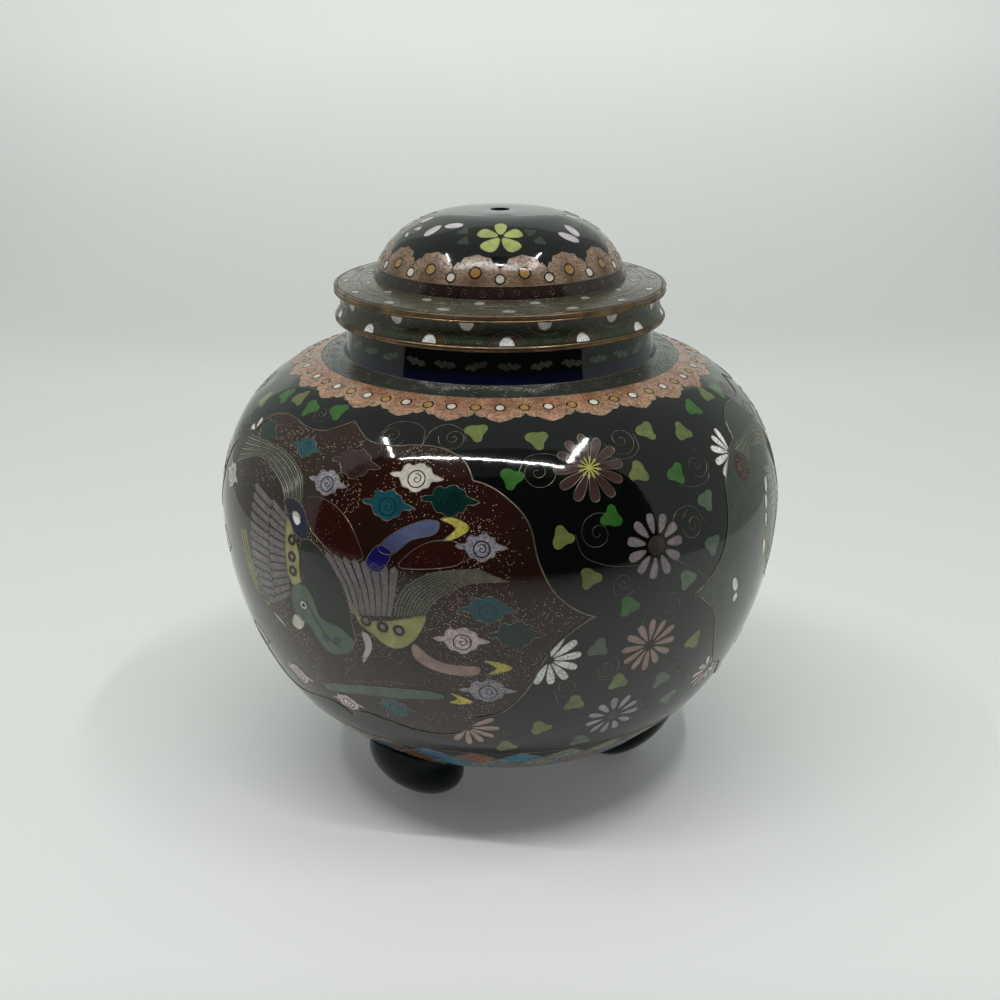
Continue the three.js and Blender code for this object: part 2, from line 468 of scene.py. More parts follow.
clouds = [
    ((-8.9, 19.4), 3.3, "teal"), ((5.3, 20.0), 4.6, "darkMauve"), ((0.1, 23.9), 3.9, "lilac"),
    ((19.1, 20.8), 4.4, "ivory"), ((14.2, 25.6), 4.4, "teal"), ((26.2, 24.1), 4.6, "darkTeal"),
    ((32.3, 31.0), 4.0, "lilac"), ((33.4, 41.0), 4.4, "teal"), ((28.7, 46.5), 4.5, "palePink"),
    ((38.4, 45.4), 4.6, "darkTeal"), ((33.2, 56.4), 4.6, "lilac"), ((0.6, 64.6), 3.6, "palePink"),
    ((13.3, 62.6), 3.8, "teal"), ((-34.0, 30.0), 4.2, "ivory"), ((-38.0, 43.0), 4.4, "teal"),
    ((-28.0, 58.5), 4.4, "lilac"), ((-25.0, 19.6), 4.0, "darkTeal"), ((-14.0, 62.5), 4.2, "palePink"),
]


def panelOutline():
    right = np.concatenate([openCurve(part, 5)[:-1] for part in panelHalf] + [[panelHalf[-1][-1]]])
    left = right[-2:0:-1] * (-1, 1)
    return np.concatenate([right, left])


def onPanel(panel, places):
    places = np.array(places, float)
    return np.stack([panel["centre"] + panel["width"] * places[:, 0], places[:, 1]], 1)


# The bird, drawn in this order. Feathers have two guides, a count, glazes, and how round, apart and
# speckled they are. A shape has a glaze, steps, knots, speckle and centre. Rings have places and discs
birdParts = [
    ("feathers", [(-9, 30.5), (-12, 26.5), (-22, 24.0), (-33, 27.5)],
     [(-4.2, 30.5), (-6.5, 24), (-15.5, 21.0), (-31, 21.6)], 10, ["plume", "greyGreen"], 0.4, 0.26),
    ("feathers", [(-24.8, 37.0), (-23.2, 41.6), (-21.0, 46.0), (-16.4, 49.0)],
     [(-21.6, 36.6), (-20.2, 40.6), (-18.0, 44.4), (-14.4, 47.4)], 3, ["bellyYellow"], 0.6, 0.12),
    ("petal", (-15.0, 49.3), (-10.4, 51.6), 0.35, "ivory"),
    ("feathers", [(-13.4, 29.4), (-20.0, 27.8)], [(-12.6, 47.5), (-18.6, 48.6)], 13, ["wingLilac"], 0.9,
     0.13, 0.5),
    ("feathers", [(-7.9, 31.0), (-12.9, 29.0)], [(-7.2, 44.4), (-12.2, 47.2)], 12, ["wingLilac"], 0.9, 0.13,
     0.5),
    ("shape", "navy", 4, [(-9.5, 28.4), (-6.2, 28.0), (-3.3, 29.8), (-2.2, 33.4), (-5.0, 33.4),
                          (-7.7, 31.0)]),
    ("shape", "white", 3, [(-6.7, 29.8), (-5.2, 29.9), (-4.3, 31.2), (-5.3, 31.8), (-6.6, 30.8)]),
    ("shape", "bellyYellow", 4, [(-8.2, 31.2), (-6.6, 32.2), (-4.5, 35.2), (-3.7, 37.6), (-3.4, 40.4),
                                 (-6.0, 42.2), (-7.6, 40.0), (-8.0, 35.7)]),
    ("rings", [(-6.1, 34.4), (-6.0, 37.2), (-5.9, 39.6)], (0.95, 12, "redBrown"), (0.4, 8, "bellyYellow")),
    ("shape", "darkGreen", 4, [(-3.0, 33.6), (1.6, 34.8), (5.4, 39.8), (7.4, 45.6), (7.0, 50.6),
                               (2.4, 51.0), (-1.4, 47.0), (-3.6, 42.3), (-4.0, 37.3)]),
    ("shape", "greyGreen", 4, [(-7.2, 44.0), (-4.8, 41.6), (-1.6, 42.6), (0.4, 46.6), (4.6, 47.6),
                               (7.2, 49.2), (6.0, 51.8), (2.0, 53.4), (-1.2, 52.2), (-3.4, 49.0),
                               (-6.6, 47.6)], 0.2),
    ("rings", [(-4.0, 45.3)], (0.75, 12, "white"), (0.36, 8, "black")),
    ("rings", [(0.4, 50.4), (3.4, 50.2)], (0.8, 10, "teal")),
    ("shape", "ivory", 3, [(-6.8, 47.6), (-4.6, 48.6), (-6.4, 50.6), (-8.6, 50.0)]),
    ("feathers", [(7.4, 44.4), (5.9, 39.6), (2.2, 35.2)], [(15.9, 43.4), (16.9, 39.6), (17.6, 35.6)], 8,
     ["wingLilac"], 1.4, 0.11, 0.6),
    ("feathers", [(16.1, 43.2), (18.0, 38.6), (23.2, 35.4), (31.2, 34.3)],
     [(22.0, 42.8), (25.0, 39.4), (30.3, 36.9), (37.0, 36.4)], 10, ["wingGreen"], 0.8, 0.24, 0.2),
    ("shape", "bellyYellow", 4, [(7.9, 42.0), (9.7, 44.7), (13.8, 44.6), (18.4, 43.5), (22.4, 42.6),
                                 (20.6, 46.4), (17.6, 48.9), (14.5, 49.1), (11.7, 47.3),
                                 (9.0, 45.6)], 0.25),
    ("rings", [(10.6, 45.0), (13.9, 45.6), (17.1, 45.8)], (1.05, 12, "redBrown"), (0.5, 8, "mauveGrey")),
    ("shape", "palePink", 3, [(9.3, 47.4), (10.9, 47.6), (11.1, 50.2), (8.8, 53.4), (8.5, 52.6),
                              (9.7, 50.0)]),
    ("shape", "blue", 4, [(13.3, 32.4), (16.9, 29.3), (21.8, 27.4), (24.6, 27.6), (23.8, 29.4),
                          (19.6, 30.6), (16.0, 33.2)], 0.0, ((13.0, 34.0), 6.0, "deepBlue")),
    ("shape", "deepBlue", 3, [(11.0, 35.2), (13.2, 32.0), (16.0, 33.0), (13.8, 36.3)]),
    ("shape", "flame", 3, [(24.6, 27.0), (27.4, 26.7), (30.2, 28.1), (28.0, 29.7), (25.4, 30.3),
                           (27.4, 28.6), (27.0, 27.8)], 0.7),
    ("shape", "pink", 4, [(19.8, 47.8), (22.9, 50.1), (26.2, 51.2), (31.8, 51.5), (30.7, 53.3),
                          (26.0, 53.2), (22.2, 52.3), (19.5, 50.3)], 0.2),
    ("shape", "flame", 3, [(32.6, 50.2), (35.5, 50.5), (38.0, 51.6), (35.5, 52.7), (33.2, 52.9),
                           (35.0, 51.6)], 0.7),
    ("shape", "greyGreen", 4, [(-4.4, 61.6), (6.2, 58.9), (15.5, 57.6), (22.8, 57.4), (24.0, 58.8),
                               (15.0, 60.2), (5.3, 61.3), (-4.0, 63.2)], 0.2),
    ("shape", "flame", 3, [(25.8, 57.2), (28.0, 57.8), (30.4, 59.1), (27.6, 59.9), (25.4, 59.4),
                           (27.2, 58.5)], 0.7),
]


def drawBird(design, panel):
    def at(places):
        return onPanel(panel, places)

    def drawFeathers(first, last, *values):
        feathers(design, at(first), at(last), *values)

    def drawPetal(start, end, halfWidth, glaze):
        ovalPetal(design, at([start])[0], at([end])[0], halfWidth, glaze)

    def drawRings(places, *discs):
        for place in at(places):
            for radius, steps, glaze in discs:
                wired(design, around(design, place, circle(radius, steps)), glaze)

    def drawShape(glaze, steps, knots, speckle=0.0, centre=None):
        if centre is not None:
            centre = (at([centre[0]])[0], centre[1], centre[2])
        wired(design, at(closedCurve(knots, steps)), glaze, speckle=speckle, centre=centre)

    kinds = {"feathers": drawFeathers, "petal": drawPetal, "rings": drawRings, "shape": drawShape}
    for kind, *values in birdParts:
        kinds[kind](*values)


rightFlorets = [
    ((67.6, 29.7), (65.7, 32.2)), ((65.2, 32.4), (64.8, 35.1)), ((64.0, 35.3), (64.8, 38.2)),
    ((63.2, 39.7), (65.1, 43.6)), ((50.5, 43.3), (52.6, 46.1)), ((52.0, 46.7), (53.1, 48.2)),
]


def trimWires(design, outline):
    # Drops the stretches of wire that lie under a panel
    for shift in (-fullTurn, 0, fullTurn):
        edge = toChart(design, outline) + (shift, 0)
        low, high = edge.min(axis=0), edge.max(axis=0)
        kept = []
        for wire in design["wires"]:
            points = wire["points"]
            if (points.max(axis=0) < low).any() or (points.min(axis=0) > high).any():
                kept.append(wire)
                continue
            inside = insidePolygon(points, edge)
            if not inside.any():
                kept.append(wire)
                continue
            if wire["closed"]:
                start = int(np.argmax(inside))
                points, inside = np.roll(points, -start, axis=0), np.roll(inside, -start)
            outside = np.nonzero(~inside)[0]
            for run in np.split(outside, np.nonzero(np.diff(outside) > 1)[0] + 1):
                if len(run) > 1:
                    kept.append({**wire, "points": points[run], "closed": False})
        design["wires"] = kept


# Thin rings of plain glaze behind the bird
panelRings = [
    [(-3.5, 27.0), (1.8, 26.8), (6.5, 28.9), (9.6, 32.5), (10.2, 34.6), (6.0, 35.4), (2.0, 33.8),
     (-2.4, 31.0)],
    [(17.6, 35.0), (19.6, 32.4), (23.0, 30.6), (27.0, 30.2), (29.4, 31.4), (28.6, 33.6), (24.5, 34.6)],
    [(8.5, 52.8), (14.0, 51.2), (18.4, 53.2), (21.0, 56.0), (12.0, 56.6), (3.0, 58.0)],
]


def drawPanel(design, panel):
    outline = onPanel(panel, panelOutline())
    fill(design, outline, panel["ground"], fleck=panel["fleck"], vary=0)
    for ring in panelRings:
        wired(design, onPanel(panel, closedCurve(ring, 5)), "redBrown", fleck=0.35)
    for place, size, glaze in clouds:
        if place[0] > panel["plainTo"]:
            cloud(design, onPanel(panel, [place])[0], size, glaze)
    drawBird(design, panel)
    draw(design, outline, closed=True, thickness=wireSizes["panel"])


# One stretch of black ground between two panels: flowers, leaves and scrolls
gapFlowers = [
    {"at": (18.1, 19.4), "size": 5.6, "glaze": "brownMauve", "start": 0.22, "eye": "rayYellow",
     "eyeSize": 0.08, "rays": "rayYellow", "width": 0.7},
    {"at": (29.3, 33.0), "size": 5.2, "glaze": "mauveGrey", "eye": "flowerHeart", "eyeSize": 0.3,
     "start": 0.38, "petals": 11, "width": 0.66, "speckle": 0.4},
    {"at": (29.2, 50.4), "size": 5.0, "glaze": "pink", "start": 0.2, "width": 0.6},
    {"at": (24.9, 65.3), "size": 4.8, "glaze": "lilac", "eye": "flowerHeart", "eyeSize": 0.22,
     "start": 0.34, "petals": 11, "width": 0.6},
    {"at": (9.0, 50.4), "size": 5.2, "glaze": "white", "start": 0.14, "show": (-0.45, -0.12), "turn": 0.13,
     "speckle": 0.6},
    {"at": (-7.0, 65.6), "size": 5.0, "glaze": "pink", "start": 0.14, "show": (-0.95, -0.1), "width": 0.62},
    {"at": (55.0, 22.6), "size": 4.9, "glaze": "white", "start": 0.14, "show": (2.9, -0.16), "turn": 0.1,
     "speckle": 0.6},
    {"at": (51.5, 62.0), "size": 4.2, "glaze": "palePink", "start": 0.16},
]
gapLeaves = [
    (-5.3, 12.6, "olive", 0.2), (8.2, 14.1, "olive", 0.1), (2.2, 20.6, "green", -0.2),
    (34.5, 14.8, "olive", 0.4), (28.1, 21.3, "olive", -1.2), (37.1, 22.9, "green", 0.5),
    (44.2, 16.5, "olive", 1.0), (53.0, 13.2, "green", 0.7), (20.8, 27.3, "green", 3.0),
    (11.4, 29.9, "olive", 1.4), (15.9, 36.7, "olive", -0.5), (42.8, 28.3, "greyGreen", 0.3),
    (42.9, 35.6, "greyGreen", 0.1), (36.4, 40.1, "greyGreen", -0.4), (23.6, 42.4, "green", -0.6),
    (18.5, 49.2, "greyGreen", 0.9), (41.0, 52.6, "olive", 0.6), (23.6, 57.0, "olive", -0.9),
    (34.7, 59.2, "greyGreen", -0.6), (14.9, 60.4, "olive", -1.0), (40.0, 65.2, "greyGreen", 0.4),
    (8.9, 65.9, "olive", 1.5), (1.7, 71.3, "olive", 1.3), (18.8, 71.6, "greyGreen", -0.8),
    (-51.7, 13.0, "green", -0.3), (-42.3, 12.0, "green", 0.4), (-58.6, 12.2, "olive", 0.9),
]
gapSpirals = [
    (-24.4, 14.3, 2.3, 0.4, 1), (-10.3, 13.8, 2.4, 2.4, -1), (7.4, 19.6, 3.0, 1.0, 1),
    (27.0, 15.4, 3.0, 2.6, -1), (17.8, 29.7, 3.4, 0.0, -1), (42.9, 22.3, 2.8, 2.0, 1),
    (38.3, 31.3, 2.7, 1.2, -1), (22.4, 38.2, 2.4, 0.3, 1), (33.0, 44.2, 2.6, 2.9, -1),
    (20.6, 53.4, 2.4, 1.9, 1), (40.0, 58.4, 2.3, 0.8, 1), (12.6, 56.2, 2.1, 3.4, -1),
    (33.0, 64.4, 2.2, 1.0, -1), (46.6, 45.4, 2.4, 1.1, 1), (2.4, 66.8, 1.8, 0.5, 1),
    (-46.6, 13.2, 2.0, 1.0, 1),
]
gapStems = [
    [(-16.8, 15.6), (-17.4, 12.6), (-21.0, 11.4), (-25.5, 12.0), (-27.4, 14.4)],
    [(-16.8, 15.6), (-15.6, 12.6), (-12.2, 11.2), (-8.4, 12.2), (-7.3, 14.2)],
    [(14.0, 18.0), (10.0, 16.6), (5.6, 17.0), (3.6, 19.6)],
    [(22.6, 18.0), (26.8, 18.8), (30.4, 17.4), (30.6, 14.6)],
    [(26.0, 35.6), (20.0, 35.0), (15.0, 33.0), (13.6, 29.4)],
    [(33.0, 30.6), (35.0, 28.4), (39.0, 28.4), (41.4, 31.4)],
    [(36.8, 24.6), (40.0, 25.4), (44.6, 25.2), (46.4, 22.4)],
    [(27.0, 47.0), (27.4, 43.8), (30.0, 41.4), (34.0, 41.8)],
    [(25.0, 52.4), (23.2, 54.8), (20.4, 55.8), (17.8, 54.0)],
    [(32.0, 54.0), (36.0, 55.4), (40.0, 56.0), (42.8, 58.0)],
    [(20.6, 63.6), (16.0, 63.2), (12.0, 60.4), (10.6, 56.8)],
    [(33.0, 35.8), (38.0, 38.4), (43.0, 41.6), (49.4, 44.0)],
]
flowerSwaps = {"brownMauve": "pink", "mauveGrey": "lilac", "pink": "brownMauve", "lilac": "palePink",
               "white": "white", "palePink": "mauveGrey"}
gaps = [{"turn": 0, "swap": False}, {"turn": 121.6, "swap": True}, {"turn": 241.6, "swap": False}]
leafSize = 1.9


def drawGap(design, turn, swap):
    for stem in gapStems:
        line = openCurve([(angle + turn, arc) for angle, arc in stem], 7)
        draw(design, line, thickness=wireSizes["fine"])
    for angle, arc, size, start, hand in gapSpirals:
        spiral(design, (angle + turn, arc), size, start, hand)
    for angle, arc, glaze, lean in gapLeaves:
        leaf(design, (angle + turn, arc), leafSize, glaze, lean)
    for row in gapFlowers:
        row = dict(row)
        angle, arc = row.pop("at")
        row["glaze"] = flowerSwaps[row["glaze"]] if swap else row["glaze"]
        flower(design, (angle + turn, arc), **row)


# Neck and shoulder, with small marks, scrolls, and lappets that end in dots
shoulder = {
    "bands": [(-9.2, -1.6, "black", 0.0), (-1.6, -0.1, "neckNavy", 0.0), (-0.1, 4.15, "shoulder", 1.0)],
    "marks": 32, "markFirst": 3, "markArc": -3.0, "markSize": 1.25, "markLean": 0.3,
    "mark": [(-1.5, -0.1), (-0.9, 0.45), (-0.3, 0.3), (0, 0.6), (0.5, 0.35), (1.1, 0.5), (1.6, 0.1),
             (0.9, -0.35), (0.3, -0.2), (-0.2, -0.55), (-0.8, -0.3)],
    "scrolls": 36, "scrollFirst": 2, "scrollArc": 2.0, "scrollSize": 1.35, "scrollTurn": 1.3,
    "lappets": 28, "inner": 4.15, "valley": 8.2, "tip": 10.5, "shadeReach": 8.0,
    "lappet": [(-0.5, 0.0), (-0.47, 0.3), (-0.38, 0.52), (-0.27, 0.5), (-0.2, 0.74), (-0.08, 0.9),
               (0, 1.0)],
    "dots": 7.0, "dotSize": 0.72, "dotEdge": 1.32, "topLine": 0.1,
}


def drawShoulder(design):
    for start, end, glaze, speckle in shoulder["bands"]:
        band(design, start, end, glaze, speckle)
    mark = closedCurve(np.array(shoulder["mark"]) * shoulder["markSize"], 3)
    for i in range(shoulder["marks"]):
        place = (i * 360 / shoulder["marks"] + shoulder["markFirst"], shoulder["markArc"])
        lean = design["draws"].uniform(-shoulder["markLean"], shoulder["markLean"])
        fill(design, around(design, place, mark, lean), "neckMark", speckle=0.5)
    for i in range(shoulder["scrolls"]):
        place = (i * 360 / shoulder["scrolls"] + shoulder["scrollFirst"], shoulder["scrollArc"])
        spiral(design, place, shoulder["scrollSize"], i * shoulder["scrollTurn"], 1 if i % 2 else -1, 1.5,
               wireSizes["lobe"])
    count, inner = shoulder["lappets"], shoulder["inner"]
    step = 360 / count
    depth = shoulder["tip"] - shoulder["valley"]
    lappet = mirrored(shoulder["lappet"])
    for i in range(count):
        middle = i * step
        edge = [(middle + x * step, shoulder["valley"] + y * depth) for x, y in lappet]
        outline = [(middle - step / 2, inner), *edge, (middle + step / 2, inner)]
        centre = ((middle, inner + 1), shoulder["shadeReach"], "lappet")
        fill(design, outline, "lappetTip", speckle=1.0, centre=centre)
        draw(design, edge, thickness=wireSizes["lobe"])
    size = shoulder["dotSize"]
    for i in range(count):
        for angle, glaze in ((i * step, "ivory"), (i * step + step / 2, "yellow")):
            dot(design, (angle, shoulder["dots"]), size, size * shoulder["dotEdge"], glaze, "black")
    lineAround(design, inner, wireSizes["line"])
    lineAround(design, shoulder["topLine"], wireSizes["line"])


# Three rows of diamonds above the feet
diamonds = {"start": 74.3, "end": 85.5, "plain": 1.4, "rows": (77.5, 81.1, 84.7), "step": 12.0, "tall": 3.6,
            "first": -18.4, "glazes": ["sky", "orange", "bandTeal", "paleGrey", "cream", "pinkGrey"]}


def drawFootBand(design):
    start, half, glazeNames = diamonds["start"], diamonds["step"] / 2, diamonds["glazes"]
    band(design, start - diamonds["plain"], start, "black")
    for row, arc in enumerate(diamonds["rows"]):
        for i in range(round(360 / diamonds["step"])):
            middle = i * diamonds["step"] + row * diamonds["step"] / 2 + diamonds["first"]
            shape = [(middle, arc - diamonds["tall"]), (middle + half, arc),
                     (middle, arc + diamonds["tall"]), (middle - half, arc)]
            shape = [(angle, min(max(down, start), diamonds["end"])) for angle, down in shape]
            wired(design, shape, glazeNames[(i + row * 2) % len(glazeNames)], speckle=0.35)
    lineAround(design, start, wireSizes["band"])


# Plain counter enamel where the pattern stops, and the white florets beside the panel at the right
unseen = {"neckTop": -9.2, "base": 85.2, "speckle": 0.25}
floretHeart = {"at": (57.5, 25.6), "size": 2.6, "petalHalf": 0.8}


def drawJar():
    profile = jarProfile()
    design = newDesign(profile, arcNear(profile, *jar["side"][0]), "black", 11)
    for gap in gaps:
        drawGap(design, gap["turn"], gap["swap"])
    for panel in panels:
        trimWires(design, onPanel(panel, panelOutline()))
    for panel in panels:
        drawPanel(design, panel)
    fill(design, around(design, floretHeart["at"], circle(floretHeart["size"], 16)), "redBrown", fleck=1.0)
    for start, end in rightFlorets:
        ovalPetal(design, start, end, floretHeart["petalHalf"], "white")
    drawShoulder(design)
    drawFootBand(design)
    band(design, -design["zero"] - 1, unseen["neckTop"], "counter", unseen["speckle"])
    band(design, unseen["base"], profile["length"], "counter", unseen["speckle"])
    return design


dome = {
    "lobes": 16, "lobeTop": 17.9, "lobeFoot": 23.35, "foot": 25.6, "shadeReach": 6.0,
    "lobe": [(-0.5, 1.0), (-0.49, 0.45), (-0.42, 0.28), (-0.36, 0.3), (-0.3, 0.1), (-0.16, 0.06),
             (0, -0.02)],
    "yellow": {"arc": 21.1, "size": 0.8, "edge": 1.1}, "white": {"arc": 22.1, "size": 0.72, "edge": 0.95},
    "blossoms": [(0.5, math.pi / 2), (180, math.pi / 2)], "blossomArc": 13.7, "blossomSize": 4.0,
    "petals": [
        ((-75.2, 12.8), (-74.9, 9.8)), ((-68.7, 16.4), (-63.6, 13.2)), ((-50.6, 15.2), (-48.0, 11.6)),
        ((-44.3, 11.7), (-29.6, 10.6)), ((81.0, 9.4), (87.4, 12.4)), ((91.0, 12.9), (93.0, 16.3)),
        ((54.6, 11.8), (52.2, 15.4)), ((39.6, 13.7), (49.4, 16.4)),
    ],
    "leaves": 8, "leafPlaces": [(20, 12.6), (-21, 15.2)], "leafSize": 1.1,
    "scrolls": 48, "scrollArc": 24.5, "scrollSize": 0.75, "scrollTurn": 2.1,
}


def drawLid():
    profile = lidProfile()
    hole = arcNear(profile, *lid["dome"][-1])
    design = newDesign(profile, hole, "black", 23)
    for angle, turn in dome["blossoms"]:
        flower(design, (angle, dome["blossomArc"]), dome["blossomSize"], "blossomGreen",
               petals=5, width=0.72, start=0.12, turn=turn)
    for start, end in dome["petals"]:
        for shift in (0, 180):
            ovalPetal(design, (start[0] + shift, start[1]), (end[0] + shift, end[1]), 1.0, "blossomPink")
    for i in range(dome["leaves"]):
        for first, arc in dome["leafPlaces"]:
            place = (i * 360 / dome["leaves"] + first, arc)
            leaf(design, place, dome["leafSize"], "shoulder", design["draws"].uniform(0, 6))
    drawDomeFoot(design)
    drawBrim(design)
    drawSkirt(design)
    inside = arcNear(profile, lid["skirtMouth"], lid["skirt"][-1][1]) - hole
    band(design, inside, profile["length"], "counter", unseen["speckle"])
    band(design, -hole - 1, 0.0, "counter", unseen["speckle"])
    return design


def drawDomeFoot(design):
    count, foot = dome["lobes"], dome["lobeFoot"]
    step = 360 / count
    depth = foot - dome["lobeTop"]
    band(design, foot, dome["foot"], "domeBase", 0.6)
    for i in range(count):
        middle = (i + 0.5) * step
        edge = [(middle + x * step, dome["lobeTop"] + y * depth) for x, y in mirrored(dome["lobe"])]
        fill(design, edge, "domeLappetTip", speckle=1.0,
             centre=((middle, foot), dome["shadeReach"], "domeLappet"))
        draw(design, edge, thickness=wireSizes["lobe"])
    yellow, white = dome["yellow"], dome["white"]
    for i in range(count):
        dot(design, ((i + 0.5) * step, yellow["arc"]), yellow["size"], yellow["edge"], "yellow", "redBrown")
        dot(design, (i * step, white["arc"]), white["size"], white["edge"], "ivory", "black")
    for i in range(dome["scrolls"]):
        place = (i * 360 / dome["scrolls"], dome["scrollArc"])
        spiral(design, place, dome["scrollSize"], i * dome["scrollTurn"], 1, 1.3, wireSizes["lobe"])
    for arc in (foot, dome["foot"]):
        lineAround(design, arc, wireSizes["foot"])


# Marks are (first angle, distance from the edge, size). Waves are (share of the width, depth in mm)
brim = {
    "speckle": 0.8, "waves": ((0.34, 0.495), (0.66, -0.495)), "wavePeaks": 16,
    "marks": 16, "outerMark": (3, 1.15, 1.15), "innerMark": (-8.2, 1.5, 0.95),
    "mark": [(-1, 0), (-0.85, 0.5), (-0.4, 0.85), (0.4, 0.85), (0.85, 0.5), (1, 0), (0.4, -0.3),
             (-0.4, -0.3)],
}


def drawBrim(design):
    start = dome["foot"]
    end = arcNear(design["profile"], *lid["brimTop"]) - design["zero"]
    band(design, start, end, "brim", brim["speckle"])
    for share, depth in brim["waves"]:
        lineAround(design, start + (end - start) * share, wireSizes["wave"], step=1.5,
                   wave=lambda angle: depth * abs(math.sin(math.radians(angle) * brim["wavePeaks"])))
    outer, inner = brim["outerMark"], brim["innerMark"]
    for i in range(brim["marks"]):
        turn = i * 360 / brim["marks"]
        for angle, arc, size in ((turn + outer[0], end - outer[1], outer[2]),
                                 (turn + inner[0], start + inner[1], inner[2])):
            shape = [(x * size, y) for x, y in brim["mark"]]
            wired(design, around(design, (angle, arc), closedCurve(shape, 3)), "leafMark", speckle=0.4)


# Half discs in dark arches, hanging from the skirt's top and standing on its foot in turn
skirt = {
    "speckle": 0.9, "over": (0.8, 0.2), "marks": 14, "topFirst": -10.9, "footFirst": 2.2, "inset": 0.05,
    "disc": (1.25, 1.5, 10), "arch": (2.9, 2.3, 16), "wave": 0.35, "wavePeaks": 28,
}


def halfDisc(wide, tall, steps, hand):
    return [(wide * math.cos(t), -hand * tall * math.sin(t)) for t in np.linspace(0, math.pi, steps)]


def drawSkirt(design):
    start, end = (arcNear(design["profile"], *lid["skirt"][i]) - design["zero"] for i in (0, -1))
    band(design, start - skirt["over"][0], end + skirt["over"][1], "skirt", skirt["speckle"])
    step = 360 / skirt["marks"]
    for i in range(skirt["marks"]):
        turn = i * step
        for middle, top, hand in ((turn + skirt["topFirst"], start, 1),
                                  (turn + skirt["footFirst"], end, -1)):
            place = (middle, top + hand * skirt["inset"])
            arch = around(design, place, halfDisc(*skirt["arch"], hand))
            fill(design, arch, "skirtBrown", speckle=0.8)
            draw(design, arch, thickness=wireSizes["fine"])
            wired(design, around(design, place, halfDisc(*skirt["disc"], hand)), "white", speckle=0.4)
    lineAround(design, start + (end - start) * 0.5, wireSizes["wave"], step=1.5,
               wave=lambda angle: skirt["wave"] * math.sin(math.radians(angle) * skirt["wavePeaks"]))


# The pattern is cut into one flat sheet of cells, and every cell keeps its glaze
def patternRows(profile, bounds, maxStep=2.0, maxTurn=0.05, tight=0.5):
    # Rows of the sheet follow the profile's bends, and the hard ones keep their place in the cutting
    points, arcs = profile["points"], profile["arcs"]
    headings = np.unwrap(np.arctan2(*directions(points).T[::-1]))
    rows = [0.0]
    last = 0
    for i in range(1, len(arcs)):
        if arcs[i] - arcs[last] > maxStep or abs(headings[i] - headings[last]) > maxTurn:
            rows.append(arcs[i])
            last = i
    rows.append(profile["length"])
    hard = {round(rows[i], 4) for i in range(1, len(rows) - 1) if rows[i + 1] - rows[i - 1] < tight}
    for arc in bounds:
        if 0 < arc < profile["length"]:
            rows.append(arc)
            hard.add(round(arc, 4))
    rows = sorted({round(arc, 4) for arc in rows})
    return rows, hard | {rows[0], rows[-1]}


def insidePolygon(points, outline):
    inside = np.zeros(len(points), bool)
    for (x0, y0), (x1, y1) in zip(outline, np.roll(outline, -1, axis=0)):
        if y0 == y1:
            continue
        crosses = (points[:, 1] > y0) != (points[:, 1] > y1)
        inside ^= crosses & (points[:, 0] < x0 + (points[:, 1] - y0) * (x1 - x0) / (y1 - y0))
    return inside


def layPattern(design):
    profile, zero = design["profile"], design["zero"]
    bounds = [arc + zero for row in design["bands"] for arc in row[:2]]
    rows, hard = patternRows(profile, bounds)
    half = columns // 2
    angles = np.arange(-half - 2, half + 3) * 360 / columns
    wide = len(angles)
    vertices = [Vector((angle * perDegree, -arc)) for arc in rows for angle in angles]
    hardRows = [r for r, arc in enumerate(rows) if arc in hard]
    edges = [(r * wide + c, r * wide + c + 1) for r in hardRows for c in range(wide - 1)]
    edges += [(r * wide + c, (r + 1) * wide + c) for r in range(len(rows) - 1) for c in (2, wide - 3)]
    for cell in design["cells"]:
        first = len(vertices)
        count = len(cell["outline"])
        vertices += [Vector(point) for point in cell["outline"]]
        edges += [(first + i, first + (i + 1) % count) for i in range(count)]
    found = delaunay_2d_cdt(vertices, edges, [], 0, 1e-3)
    points = np.array([tuple(v) for v in found[0]])
    faces = np.array(found[2])
    middles = points[faces].mean(axis=1)
    faces = faces[(np.abs(middles[:, 0]) < fullTurn / 2) & (middles[:, 1] < 0)
                  & (middles[:, 1] > -profile["length"])]
    middles = points[faces].mean(axis=1)
    return points, faces, middles


def glazeFaces(design, points, faces, middles):
    colours = np.tile(linear(design["ground"]), (len(faces), 3, 1))
    grain = np.zeros((len(faces), 2))
    arcs = -middles[:, 1] - design["zero"]
    for start, end, colour, speckle in design["bands"]:
        inBand = (arcs >= start) & (arcs < end)
        colours[inBand] = colour
        grain[inBand] = (speckle, 0)
    for cell in design["cells"]:
        low, high = cell["outline"].min(axis=0), cell["outline"].max(axis=0)
        near = np.nonzero(np.all((middles > low) & (middles < high), axis=1))[0]
        chosen = near[insidePolygon(middles[near], cell["outline"])]
        grain[chosen] = (cell["speckle"], cell["fleck"])
        colours[chosen] = cell["colour"]
        if cell["centre"] is not None:
            middle, reach, inner = cell["centre"]
            away = np.linalg.norm(points[faces[chosen]] - middle, axis=2) / reach
            share = np.clip(1 - away, 0, 1)[:, :, None]
            colours[chosen] = colours[chosen] * (1 - share) + inner * share
    return colours, grain


def bakeMap(mesh, corners, length):
    # The unrolled sheet is the piece's own UV map, with one place for each corner
    uv = np.stack([corners[:, 0] / fullTurn + 0.5, 1 + corners[:, 1] / length], 1)
    mesh.uv_layers.new(name="OFBake").data.foreach_set("uv", uv.ravel())


